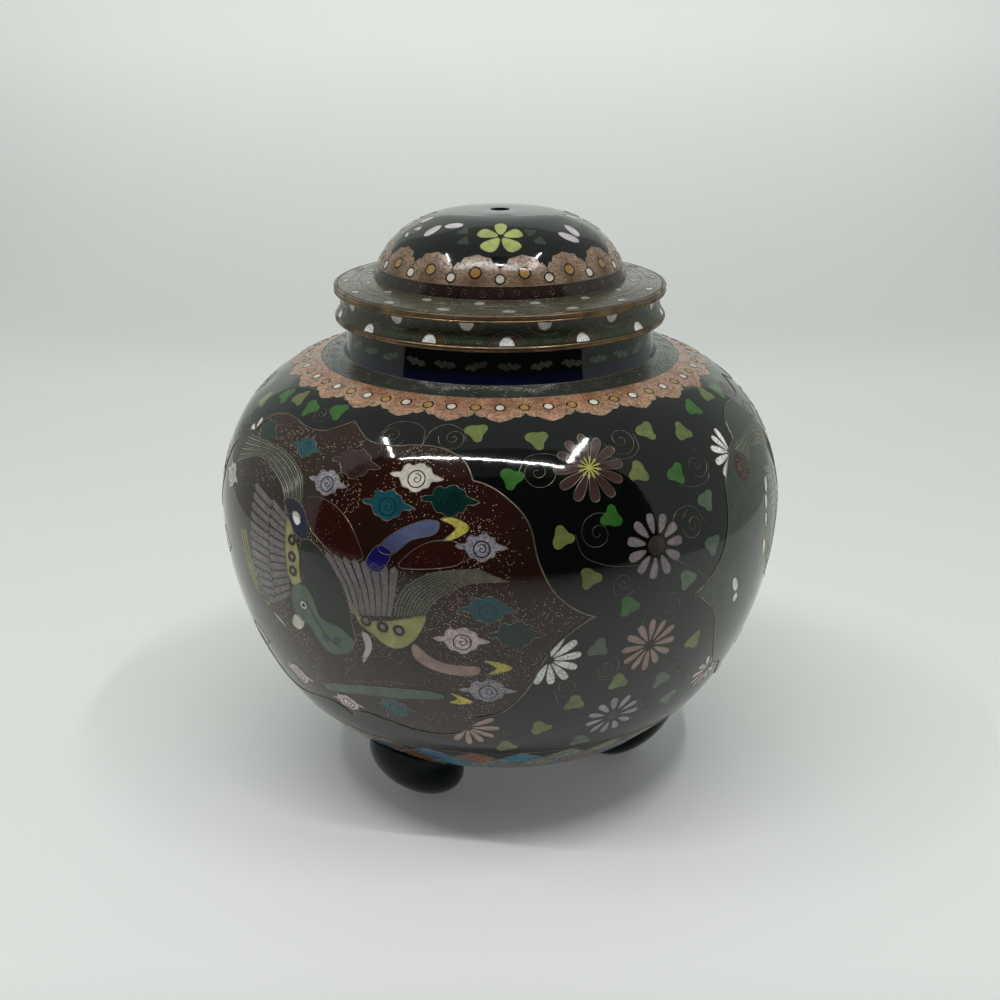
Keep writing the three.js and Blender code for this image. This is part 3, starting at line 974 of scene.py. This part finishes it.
def patternMesh(name, design):
    points, faces, middles = layPattern(design)
    colours, grain = glazeFaces(design, points, faces, middles)
    used, faces = np.unique(faces, return_inverse=True)
    faces = faces.reshape(-1, 3)
    points = points[used]
    mesh = bpy.data.meshes.new(name)
    mesh.from_pydata([(x, y, 0) for x, y in points], [], faces.tolist())
    glaze = mesh.attributes.new("glaze", "FLOAT_COLOR", "CORNER")
    opaque = np.ones((*colours.shape[:2], 1))
    glaze.data.foreach_set("color", np.concatenate([colours, opaque], 2).ravel())
    grainPerCorner = np.zeros((len(faces), 3, 4))
    grainPerCorner[:, :, :2] = grain[:, None]
    mesh.attributes.new("grain", "FLOAT_COLOR", "CORNER").data.foreach_set("color", grainPerCorner.ravel())
    bakeMap(mesh, points[faces.ravel()], design["profile"]["length"])
    print(name, "pattern has", len(faces), "faces")
    return mesh


def wireMesh(name, design):
    vertices, edges, thickness = [], [], []
    for wire in design["wires"]:
        points = wire["points"]
        first, count = len(vertices), len(points)
        vertices += [(x, y, 0) for x, y in points]
        edges += [(first + i, first + i + 1) for i in range(count - 1)]
        if wire["closed"]:
            edges.append((first + count - 1, first))
        thickness += [wire["thickness"]] * count
    mesh = bpy.data.meshes.new(name)
    mesh.from_pydata(vertices, edges, [])
    mesh.attributes.new("thickness", "FLOAT", "POINT").data.foreach_set("value", thickness)
    return mesh


# Geometry Nodes: the flat sheets and wires are wrapped round the profile
sheetInputs = {
    "Geometry": ("NodeSocketGeometry", None),
    "Profile": ("NodeSocketObject", None),
    "Millimetres Per Degree": ("NodeSocketFloat", perDegree),
}
geometryOut = {"Geometry": "NodeSocketGeometry"}


def keepVector(tree, geometry, name, value):
    stored = addNode(tree, "GeometryNodeStoreNamedAttribute",
                     {"Geometry": geometry, "Name": name, "Value": value},
                     data_type="FLOAT_VECTOR", domain="POINT")
    return stored.outputs["Geometry"]


def buildWrap():
    tree, start, end = newGroup("wrapOnProfile", "GeometryNodeTree",
                                {**sheetInputs, "Lift": ("NodeSocketFloat", 0.0)}, geometryOut)
    profile = addNode(tree, "GeometryNodeObjectInfo", {"Object": start.outputs["Profile"]})
    line = addNode(tree, "GeometryNodeMeshToCurve", {"Mesh": profile.outputs["Geometry"]})
    position = addNode(tree, "GeometryNodeInputPosition").outputs[0]
    flat = addNode(tree, "ShaderNodeSeparateXYZ", {0: position})
    arc = calculate(tree, "MULTIPLY", flat.outputs["Y"], -mm)
    degrees = calculate(tree, "DIVIDE", flat.outputs["X"], start.outputs["Millimetres Per Degree"])
    angle = calculate(tree, "RADIANS", degrees)
    sample = addNode(tree, "GeometryNodeSampleCurve", {"Curves": line.outputs["Curve"], "Length": arc},
                     mode="LENGTH")
    place = addNode(tree, "ShaderNodeSeparateXYZ", {0: sample.outputs["Position"]})
    tangent = addNode(tree, "ShaderNodeSeparateXYZ", {0: sample.outputs["Tangent"]})
    outRadial = calculate(tree, "MULTIPLY", tangent.outputs["Z"], -1.0)
    outAxial = tangent.outputs["X"]
    radius = calculate(tree, "MULTIPLY_ADD", outRadial, start.outputs["Lift"], place.outputs["X"])
    height = calculate(tree, "MULTIPLY_ADD", outAxial, start.outputs["Lift"], place.outputs["Z"])
    sine, cosine = calculate(tree, "SINE", angle), calculate(tree, "COSINE", angle)
    back = calculate(tree, "MULTIPLY", cosine, -1.0)

    def turned(radial, axial):
        across, along = calculate(tree, "MULTIPLY", radial, sine), calculate(tree, "MULTIPLY", radial, back)
        return addNode(tree, "ShaderNodeCombineXYZ", {"X": across, "Y": along, "Z": axial}).outputs[0]

    kept = keepVector(tree, start.outputs["Geometry"], "outward", turned(outRadial, outAxial))
    kept = keepVector(tree, kept, "flatPlace", position)
    moved = addNode(tree, "GeometryNodeSetPosition", {"Geometry": kept, "Position": turned(radius, height)})
    tree.links.new(moved.outputs["Geometry"], end.inputs["Geometry"])
    return tree


def addWrapped(tree, start, wrap):
    wrapped = addNode(tree, "GeometryNodeGroup", node_tree=wrap)
    for key in sheetInputs:
        tree.links.new(start.outputs[key], wrapped.inputs[key])
    return wrapped


def finishTree(tree, start, end, geometry):
    smooth = addNode(tree, "GeometryNodeSetShadeSmooth", {"Geometry": geometry})
    real = addNode(tree, "GeometryNodeRealizeInstances", {"Geometry": smooth.outputs[0]})
    painted = addNode(tree, "GeometryNodeSetMaterial", {
        "Geometry": real.outputs[0], "Material": start.outputs["Material"]})
    tree.links.new(painted.outputs[0], end.inputs["Geometry"])
    return tree


def buildSkinTree(wrap):
    tree, start, end = newGroup("inlaidSkin", "GeometryNodeTree", {
        **sheetInputs, "Seam Gap": ("NodeSocketFloat", 2e-6), "Material": ("NodeSocketMaterial", None),
    }, geometryOut)
    wrapped = addWrapped(tree, start, wrap)
    merged = addNode(tree, "GeometryNodeMergeByDistance", {
        "Geometry": wrapped.outputs[0], "Distance": start.outputs["Seam Gap"]})
    return finishTree(tree, start, end, merged.outputs[0])


def buildWireTree(wrap):
    tree, start, end = newGroup("bentWire", "GeometryNodeTree", {
        **sheetInputs, "Sink": ("NodeSocketFloat", 0.000015), "Sides": ("NodeSocketInt", 4),
        "Material": ("NodeSocketMaterial", None),
    }, geometryOut)
    wrapped = addWrapped(tree, start, wrap)
    lift = calculate(tree, "MULTIPLY", start.outputs["Sink"], -1.0)
    tree.links.new(lift, wrapped.inputs["Lift"])
    curve = addNode(tree, "GeometryNodeMeshToCurve", {"Mesh": wrapped.outputs[0]})
    thickness = addNode(tree, "GeometryNodeInputNamedAttribute", {"Name": "thickness"}, data_type="FLOAT")
    scaled = calculate(tree, "MULTIPLY", thickness.outputs["Attribute"], mm)
    section = addNode(tree, "GeometryNodeCurvePrimitiveCircle", {
        "Resolution": start.outputs["Sides"], "Radius": 1.0})
    tube = addNode(tree, "GeometryNodeCurveToMesh", {
        "Curve": curve.outputs[0], "Profile Curve": section.outputs["Curve"], "Scale": scaled,
        "Fill Caps": True})
    return finishTree(tree, start, end, tube.outputs[0])


def profileObject(profile):
    mesh = bpy.data.meshes.new("profileLine")
    points = [(radius * mm, 0, height * mm) for radius, height in profile["points"]]
    mesh.from_pydata(points, [(i, i + 1) for i in range(len(points) - 1)], [])
    return addObject("profileLine", mesh)


def wrapPiece(name, flatMesh, profile, tree, values):
    line = profileObject(profile)
    blank = addObject(name + "Blank", flatMesh)
    modifier = blank.modifiers.new(name, "NODES")
    modifier.node_group = tree
    ids = socketIds(tree)
    for key, value in {"Profile": line, **values}.items():
        modifier[ids[key]] = value
    evaluated = blank.evaluated_get(bpy.context.evaluated_depsgraph_get())
    mesh = bpy.data.meshes.new_from_object(evaluated)
    mesh.name = name
    for helper in (blank, line):
        bpy.data.objects.remove(helper)
    return addObject(name, mesh)


def readVectors(mesh, name):
    values = np.zeros(len(mesh.vertices) * 3, np.float32)
    mesh.attributes[name].data.foreach_get("vector", values)
    return values.reshape(-1, 3)


def dropAttributes(mesh, *names):
    for name in names:
        if name in mesh.attributes:
            mesh.attributes.remove(mesh.attributes[name])


def finishSkin(piece):
    mesh = piece.data
    outward = readVectors(mesh, "outward")
    dropAttributes(mesh, "outward", "flatPlace")
    mesh.normals_split_custom_set_from_vertices(outward.tolist())


def finishWires(piece, profile):
    mesh = piece.data
    flat = readVectors(mesh, "flatPlace")
    corners = np.zeros(len(mesh.loops), int)
    mesh.loops.foreach_get("vertex_index", corners)
    bakeMap(mesh, flat[corners], profile["length"])
    dropAttributes(mesh, "outward", "flatPlace", "thickness")


def ridePiece(piece, slotName, *nodes):
    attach(piece, "root")
    if nodes:
        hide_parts(*nodes)


# Materials
def mixColour(tree, factor, first, second, blend="MIX"):
    node = addNode(tree, "ShaderNodeMix", {0: factor, 6: first, 7: second}, data_type="RGBA",
                   blend_type=blend)
    return node.outputs[2]


def mapRange(tree, value, ends, results):
    node = addNode(tree, "ShaderNodeMapRange",
                   {0: value, 1: ends[0], 2: ends[1], 3: results[0], 4: results[1]})
    return node.outputs[0]


def noise(tree, vector, scale, detail, roughness=0.5):
    return addNode(tree, "ShaderNodeTexNoise", {
        "Vector": vector, "Scale": scale, "Detail": detail, "Roughness": roughness}).outputs[0]


def grey(tree, value):
    return addNode(tree, "ShaderNodeCombineColor", {0: value, 1: value, 2: value}).outputs[0]


# Enamel. Scales are cells to a metre, limits are shares of the cells, and ends are taken from a noise
enamel = {
    "crumbScale": 3500.0, "crumbSize": 0.48, "darkLimit": 0.72, "darkPerSpeckle": -0.24, "paleLimit": 0.3,
    "darkStrength": 0.85, "paleStrength": 0.8, "pit": (0.012, 0.010, 0.009, 1), "pale": (1.7, 1.6, 1.5, 1),
    "streakScale": 420.0, "streakDetail": 3.0, "streakEnds": (0.3, 0.7), "shades": (0.8, 1.2),
    "glintScale": 5600.0, "glintSize": 0.3, "patchScale": 130.0, "patchDetail": 2.0,
    "patchEnds": (0.46, 0.76), "glintLimits": (0.988, 0.62), "glintCopper": (0.84, 0.6, 0.36, 1),
    "glintPale": (1.0, 0.93, 0.8, 1), "redGround": (0.034, 0.009, 0.005, 1),
    "roughness": (0.035, 0.08), "roughPerSpeckle": 0.16, "roughPerPit": 0.25, "pitHeight": -0.5,
    "bump": 0.25, "bumpDistance": 0.00006, "refraction": 1.56,
}


def buildGrain():
    # Dark pits, pale crumbs and slow streaks of fired enamel, in any glaze, and, where it has fleck, real
    # copper flakes painted bright as glints (painted highlights)
    tree, start, end = newGroup("enamelGrain", "ShaderNodeTree", {
        "Vector": ("NodeSocketVector", None),
        "Glaze": ("NodeSocketColor", (0.02, 0.02, 0.02, 1)),
        "Speckle": ("NodeSocketFloat", 0.2),
        "Fleck": ("NodeSocketFloat", 0.0),
        "Crumb Scale": ("NodeSocketFloat", enamel["crumbScale"]),
    }, {"Glaze": "NodeSocketColor", "Roughness": "NodeSocketFloat", "Height": "NodeSocketFloat"})
    vector, speckle, fleck = (start.outputs[key] for key in ("Vector", "Speckle", "Fleck"))

    def times(first, second):
        return calculate(tree, "MULTIPLY", first, second)

    def cells(scale):
        found = addNode(tree, "ShaderNodeTexVoronoi", {"Vector": vector, "Scale": scale})
        picks = addNode(tree, "ShaderNodeSeparateColor", {0: found.outputs["Color"]})
        return found.outputs["Distance"], picks.outputs

    distance, picks = cells(start.outputs["Crumb Scale"])
    near = calculate(tree, "LESS_THAN", distance, enamel["crumbSize"])
    limit = calculate(tree, "MULTIPLY_ADD", speckle, enamel["darkPerSpeckle"], enamel["darkLimit"])
    dark = times(times(near, calculate(tree, "GREATER_THAN", picks[0], limit)), speckle)
    pale = times(times(near, calculate(tree, "LESS_THAN", picks[0], enamel["paleLimit"])), speckle)
    streaks = noise(tree, vector, enamel["streakScale"], enamel["streakDetail"])
    shade = grey(tree, mapRange(tree, streaks, enamel["streakEnds"], enamel["shades"]))
    base = mixColour(tree, 1.0, start.outputs["Glaze"], shade, "MULTIPLY")
    darker = mixColour(tree, times(dark, enamel["darkStrength"]), base, enamel["pit"])
    paler = mixColour(tree, 1.0, base, enamel["pale"], "MULTIPLY")
    lit = mixColour(tree, times(pale, enamel["paleStrength"]), darker, paler)
    # Painted glints: the copper flakes get a bright pale colour that stands in for their sparkle
    distance, picks = cells(enamel["glintScale"])
    patch = noise(tree, vector, enamel["patchScale"], enamel["patchDetail"])
    cut = mapRange(tree, patch, enamel["patchEnds"], enamel["glintLimits"])
    chosen = calculate(tree, "GREATER_THAN", picks[0], cut)
    small = calculate(tree, "LESS_THAN", distance, enamel["glintSize"])
    paintedGlintColour = mixColour(tree, picks[1], enamel["glintCopper"], enamel["glintPale"])
    reds = mixColour(tree, times(fleck, patch), lit, enamel["redGround"])
    final = mixColour(tree, times(times(chosen, small), fleck), reds, paintedGlintColour)
    rough = mapRange(tree, streaks, enamel["streakEnds"], enamel["roughness"])
    coarse = calculate(tree, "MULTIPLY_ADD", speckle, enamel["roughPerSpeckle"], rough)
    rougher = calculate(tree, "MULTIPLY_ADD", dark, enamel["roughPerPit"], coarse)
    height = calculate(tree, "ADD", times(dark, enamel["pitHeight"]), streaks)
    for key, value in {"Glaze": final, "Roughness": rougher, "Height": height}.items():
        tree.links.new(value, end.inputs[key])
    return tree


def newMaterial(name):
    material = bpy.data.materials.new(name)
    material.use_nodes = True
    tree = material.node_tree
    return material, tree, tree.nodes["Principled BSDF"]


def enamelMaterial(name, grainGroup, glaze=None, speckle=0.25, gloss=0.5):
    material, tree, shader = newMaterial(name)
    place = addNode(tree, "ShaderNodeTexCoord").outputs["Object"]
    grain = addNode(tree, "ShaderNodeGroup", node_tree=grainGroup)
    tree.links.new(place, grain.inputs["Vector"])
    if glaze is None:
        colour = addNode(tree, "ShaderNodeAttribute", attribute_name="glaze")
        kind = addNode(tree, "ShaderNodeAttribute", attribute_name="grain")
        parts = addNode(tree, "ShaderNodeSeparateColor", {0: kind.outputs["Color"]})
        tree.links.new(colour.outputs["Color"], grain.inputs["Glaze"])
        tree.links.new(parts.outputs[0], grain.inputs["Speckle"])
        tree.links.new(parts.outputs[1], grain.inputs["Fleck"])
    else:
        grain.inputs["Glaze"].default_value = (*linear(glaze), 1)
        grain.inputs["Speckle"].default_value = speckle
    bump = addNode(tree, "ShaderNodeBump", {
        "Strength": enamel["bump"], "Distance": enamel["bumpDistance"], "Height": grain.outputs["Height"]})
    tree.links.new(grain.outputs["Glaze"], shader.inputs["Base Color"])
    tree.links.new(grain.outputs["Roughness"], shader.inputs["Roughness"])
    tree.links.new(bump.outputs[0], shader.inputs["Normal"])
    shader.inputs["IOR"].default_value = enamel["refraction"]
    shader.inputs["Specular IOR Level"].default_value = gloss
    return material


copper = {
    "patchScale": 260.0, "patchDetail": 5.0, "patchRoughness": 0.7, "patchEnds": (0.38, 0.62),
    "roughRise": 0.22, "scratchScale": 2400.0, "scratchDetail": 2.0, "bump": 0.3, "bumpDistance": 0.00005,
}


def copperMaterial(name, bright, tarnish, roughness):
    material, tree, shader = newMaterial(name)
    place = addNode(tree, "ShaderNodeTexCoord").outputs["Object"]
    patches = noise(tree, place, copper["patchScale"], copper["patchDetail"], copper["patchRoughness"])
    share = mapRange(tree, patches, copper["patchEnds"], (0.0, 1.0))
    rough = mapRange(tree, share, (0.0, 1.0), (roughness, roughness + copper["roughRise"]))
    scratches = noise(tree, place, copper["scratchScale"], copper["scratchDetail"])
    bump = addNode(tree, "ShaderNodeBump", {
        "Strength": copper["bump"], "Distance": copper["bumpDistance"], "Height": scratches})
    tree.links.new(mixColour(tree, share, bright, tarnish), shader.inputs["Base Color"])
    tree.links.new(rough, shader.inputs["Roughness"])
    tree.links.new(bump.outputs[0], shader.inputs["Normal"])
    shader.inputs["Metallic"].default_value = 1.0
    return material


grainGroup = buildGrain()
inlaid = enamelMaterial("inlaidEnamel", grainGroup)
footGlaze = enamelMaterial("footEnamel", grainGroup, "footGreen", speckle=0.3, gloss=0.1)
edgeCopper = copperMaterial("edgeCopper", (0.26, 0.165, 0.095, 1), (0.10, 0.08, 0.05, 1), 0.24)
wireCopper = copperMaterial("wireCopper", (0.27, 0.235, 0.18, 1), (0.15, 0.13, 0.10, 1), 0.3)
print("materials ready")


# Body and lid skins with their wires
wrapTree = buildWrap()
skinTree = buildSkinTree(wrapTree)
wireTree = buildWireTree(wrapTree)
for design, skinName, wireName, slotName, node in (
    (drawJar(), "jar_shell", "jar_wires", "body_enamel", "jar_body"),
    (drawLid(), "lid_shell", "lid_wires", "lid_enamel", "lid"),
):
    profile = design["profile"]
    skin = wrapPiece(skinName, patternMesh(skinName, design), profile, skinTree, {"Material": inlaid})
    finishSkin(skin)
    ridePiece(skin, slotName, node)
    wires = wrapPiece(wireName, wireMesh(wireName, design), profile, wireTree, {"Material": wireCopper})
    finishWires(wires, profile)
    ridePiece(wires, "copper")
    print(skinName, len(skin.data.polygons), wireName, len(wires.data.polygons))


# Turned copper edges, each a closed section walked with its outside on the left
rings = {
    "mouth_ring": ("mouth_rim", [
        (24.6, 88.0), (24.6, 88.6), (24.9, 88.75), (26.0, 88.75), (26.3, 88.5), (26.3, 87.12),
        (24.6, 87.12), (24.6, 88.0),
    ]),
    "brim_strip": ("brim_edge_band", [
        (28.3, 89.6), (28.3, 90.2), (28.5, 90.28), (28.72, 90.24), (28.96, 90.05), (28.96, 89.93),
        (28.86, 89.84), (28.84, 89.5), (28.84, 89.32), (28.94, 89.22), (28.96, 89.08), (28.85, 88.95),
        (28.3, 88.95), (28.3, 89.6),
    ]),
    "skirt_strip": ("skirt_edge_band", [
        (27.4, 84.7), (27.4, 85.18), (28.62, 85.18), (28.8, 85.02), (28.9, 84.8), (28.9, 84.5),
        (28.78, 84.25), (28.6, 84.2), (27.5, 84.2), (27.4, 84.3), (27.4, 84.7),
    ]),
}
ringShape = {"steps": 180, "corner": 0.12}


def ringMesh(name, profile):
    angles = (np.arange(ringShape["steps"] + 1) / ringShape["steps"] - 0.5) * 360 * perDegree
    rows = profile["arcs"]
    vertices = [(x, -arc, 0) for arc in rows for x in angles]
    wide = len(angles)
    faces = [(r * wide + c, (r + 1) * wide + c, (r + 1) * wide + c + 1, r * wide + c + 1)
             for r in range(len(rows) - 1) for c in range(wide - 1)]
    mesh = bpy.data.meshes.new(name)
    mesh.from_pydata(vertices, [], faces)
    bakeMap(mesh, np.array([vertices[i][:2] for face in faces for i in face]), profile["length"])
    return mesh


for name, (node, section) in rings.items():
    profile = profileOf(softenCorners(section, ringShape["corner"]))
    ring = wrapPiece(name, ringMesh(name, profile), profile, skinTree, {"Material": edgeCopper})
    finishSkin(ring)
    ridePiece(ring, "copper", node)
print("copper edges ready")


# Feet: lobes that lean outwards, fitted under the base
footShape = {
    "halfWidth": 8.3, "halfDepth": 7.5, "halfHeight": 8.6, "middle": 7.7, "stand": 21.1, "lean": 0.52,
    "angles": {"foot_front": -36.5, "foot_right": 83.5, "foot_back": 203.5}, "steps": 64, "rows": 40,
    "clear": 0.03,
}


def underside():
    side = smoothThrough(jar["side"])[::-1]
    side = side[:side[:, 0].argmax() + 1]
    return side[:, 0], side[:, 1]


def footLobe(name, angle):
    # The lobe's top is cut to the jar's underside
    shape, steps = footShape, footShape["steps"]
    start = -math.asin(shape["middle"] / shape["halfHeight"])
    turns = np.arange(steps) * 2 * math.pi / steps
    vertices = []
    for lift in np.linspace(start, math.pi / 2, shape["rows"])[:-1]:
        height = shape["middle"] + shape["halfHeight"] * math.sin(lift)
        for turn in turns:
            depth = shape["halfDepth"] * math.cos(lift) * math.cos(turn)
            vertices.append((depth + shape["stand"] + shape["lean"] * height,
                             shape["halfWidth"] * math.cos(lift) * math.sin(turn), height))
    topHeight = shape["middle"] + shape["halfHeight"]
    vertices.append((shape["stand"], 0, 0))
    vertices.append((shape["stand"] + shape["lean"] * topHeight, 0, topHeight))
    vertices = np.array(vertices)
    limit = np.interp(np.hypot(vertices[:, 0], vertices[:, 1]), *underside()) - shape["clear"]
    vertices[:, 2] = np.minimum(vertices[:, 2], limit)
    out, side, up = vertices.T
    cosine, sine = math.cos(math.radians(angle - 90)), math.sin(math.radians(angle - 90))
    placed = np.stack([out * cosine - side * sine, out * sine + side * cosine, up], 1) * mm
    top = (shape["rows"] - 2) * steps
    after = [(c + 1) % steps for c in range(steps)]
    faces = [(row + c, row + after[c], row + steps + after[c], row + steps + c)
             for row in range(0, top, steps) for c in range(steps)]
    faces += [(top + steps, after[c], c) for c in range(steps)]
    faces += [(top + steps + 1, top + c, top + after[c]) for c in range(steps)]
    mesh = bpy.data.meshes.new(name)
    mesh.from_pydata(placed.tolist(), [], faces)
    mesh.shade_smooth()
    return addObject(name, mesh)


for node, angle in footShape["angles"].items():
    lobe = footLobe(node + "_lobe", angle)
    lobe.data.materials.append(footGlaze)
    ridePiece(lobe, "foot_enamel", node)
print("feet ready")


# Studio: a white box with an open dark front, a pale sweep under the jar with painted shade towards its
# front edge, and thin lamp strips overhead
studio = {
    "top": 0.46, "side": 0.26, "leftFront": -0.095, "rightFront": -0.158, "back": 0.34,
    "ceilingFront": -0.12, "flapFront": -0.30, "ceiling": 0.36, "flap": 0.13, "walls": 0.39,
    "backWall": 0.60, "strip": 245.0, "armStrip": 100.0, "floorGlow": 0.085, "skyGlow": 0.52,
    "frontShadeEnd": -0.07,
    "lamps": {
        "lampFront": ((-0.245, -0.140), (0.165, -0.212), 0.0030),
        "lampLeft": ((-0.262, -0.121), (-0.243, -0.010), 0.008),
        "lampRight": ((0.172, -0.184), (0.182, -0.040), 0.008),
    },
    "lampDrop": 0.005, "backFoot": 0.2, "white": (0.92, 1.0, 0.93, 1), "lampWhite": (1.0, 1.0, 0.985, 1),
    "sweepFront": -0.33, "sweepBend": 0.30, "sweepRadius": 0.18, "sweepTop": 0.60, "sweepHalf": 0.80,
    "sweepSteps": 25, "sweepTones": ((0.81, 0.82, 0.81, 1), (0.83, 0.84, 0.83, 1)), "grainScale": 30.0,
    "frontShadeDarkest": 0.04, "sweepRoughness": 0.7, "sweepGloss": 0.2, "sweepGlow": (0.98, 1.0, 0.97, 1),
    "seenSky": (0.80, 0.81, 0.79, 1), "dimSky": (0.9, 0.95, 1.0, 1), "dimStrength": 0.03,
}


def emitter(name, colour, strength):
    material = bpy.data.materials.new(name)
    material.use_nodes = True
    tree = material.node_tree
    tree.nodes.clear()
    glow = addNode(tree, "ShaderNodeEmission", {0: colour, 1: strength})
    addNode(tree, "ShaderNodeOutputMaterial", {0: glow.outputs[0]})
    return material


def stageSheet(name, corners, colour, strength):
    mesh = bpy.data.meshes.new(name)
    mesh.from_pydata(corners, [], [tuple(range(len(corners)))])
    mesh.materials.append(emitter(name + "Glow", colour, strength))
    sheet = addObject(name, mesh)
    sheet.visible_camera = False


def sweepMaterial():
    material, tree, shader = newMaterial("paleSweep")
    place = addNode(tree, "ShaderNodeTexCoord").outputs["Object"]
    grain = noise(tree, place, studio["grainScale"], 3.0)
    tone = mixColour(tree, grain, *studio["sweepTones"])
    parts = addNode(tree, "ShaderNodeSeparateXYZ", {0: place})
    # Painted shade: the sweep's colour and glow fall off towards its front edge
    frontShadeEnds = (studio["sweepFront"], studio["frontShadeEnd"])
    frontShade = mapRange(tree, parts.outputs["Y"], frontShadeEnds, (studio["frontShadeDarkest"], 1.0))
    glow = mapRange(tree, parts.outputs["Z"], (0.0, studio["sweepRadius"]),
                    (studio["floorGlow"], studio["skyGlow"]))
    frontShaded = calculate(tree, "MULTIPLY", glow, frontShade)
    tree.links.new(mixColour(tree, 1.0, tone, grey(tree, frontShade), "MULTIPLY"), shader.inputs["Base Color"])
    tree.links.new(frontShaded, shader.inputs["Emission Strength"])
    shader.inputs["Roughness"].default_value = studio["sweepRoughness"]
    shader.inputs["Specular IOR Level"].default_value = studio["sweepGloss"]
    shader.inputs["Emission Color"].default_value = studio["sweepGlow"]
    return material


def buildSweep():
    bend, radius, half = studio["sweepBend"], studio["sweepRadius"], studio["sweepHalf"]
    line = [(studio["sweepFront"], 0.0)]
    for t in np.linspace(0, math.pi / 2, studio["sweepSteps"]):
        line.append((bend + radius * math.sin(t), radius * (1 - math.cos(t))))
    line.append((bend + radius, studio["sweepTop"]))
    mesh = bpy.data.meshes.new("sweep")
    vertices = [(x, y, z) for y, z in line for x in (-half, half)]
    mesh.from_pydata(vertices, [], [(2 * i, 2 * i + 1, 2 * i + 3, 2 * i + 2) for i in range(len(line) - 1)])
    mesh.shade_smooth()
    mesh.materials.append(sweepMaterial())
    sweep = addObject("sweep", mesh)


def buildWorld():
    world = bpy.context.scene.world or bpy.data.worlds.new("studioWorld")
    bpy.context.scene.world = world
    world.use_nodes = True
    tree = world.node_tree
    tree.nodes.clear()
    path = addNode(tree, "ShaderNodeLightPath")
    seenSky = addNode(tree, "ShaderNodeBackground", {0: studio["seenSky"], 1: 1.0})
    dimSky = addNode(tree, "ShaderNodeBackground", {0: studio["dimSky"], 1: studio["dimStrength"]})
    sky = addNode(tree, "ShaderNodeMixShader", {
        0: path.outputs["Is Camera Ray"], 1: dimSky.outputs[0], 2: seenSky.outputs[0]})
    addNode(tree, "ShaderNodeOutputWorld", {0: sky.outputs[0]})


def level(low, high, height):
    # The corners of a flat sheet between two corners, at one height
    return [(low[0], low[1], height), (high[0], low[1], height), (high[0], high[1], height),
            (low[0], high[1], height)]


def buildStudio():
    top, side, back = studio["top"], studio["side"], studio["back"]
    front, white = studio["ceilingFront"], studio["white"]
    stageSheet("softCeiling", level((-side, front), (side, back), top), white, studio["ceiling"])
    stageSheet("frontFlap", level((-side, studio["flapFront"]), (side, front), top), white, studio["flap"])
    for x, name, start in ((-side, "softLeft", studio["leftFront"]),
                           (side, "softRight", studio["rightFront"])):
        corners = [(x, start, 0), (x, back, 0), (x, back, top), (x, start, top)]
        stageSheet(name, corners, white, studio["walls"])
    foot = studio["backFoot"]
    corners = [(-side, back, foot), (side, back, foot), (side, back, top), (-side, back, top)]
    stageSheet("softBack", corners, white, studio["backWall"])
    for name, (start, end, width) in studio["lamps"].items():
        start, end = Vector(start), Vector(end)
        along = (end - start).normalized()
        across = Vector((-along.y, along.x)) * width
        flat = (start, end, end + across, start + across)
        corners = [(*corner, top - studio["lampDrop"]) for corner in flat]
        strength = studio["strip" if name == "lampFront" else "armStrip"]
        stageSheet(name, corners, studio["lampWhite"], strength)
    buildSweep()
    buildWorld()


buildStudio()
bpy.context.scene.view_settings.view_transform = "Standard"
print("studio ready")
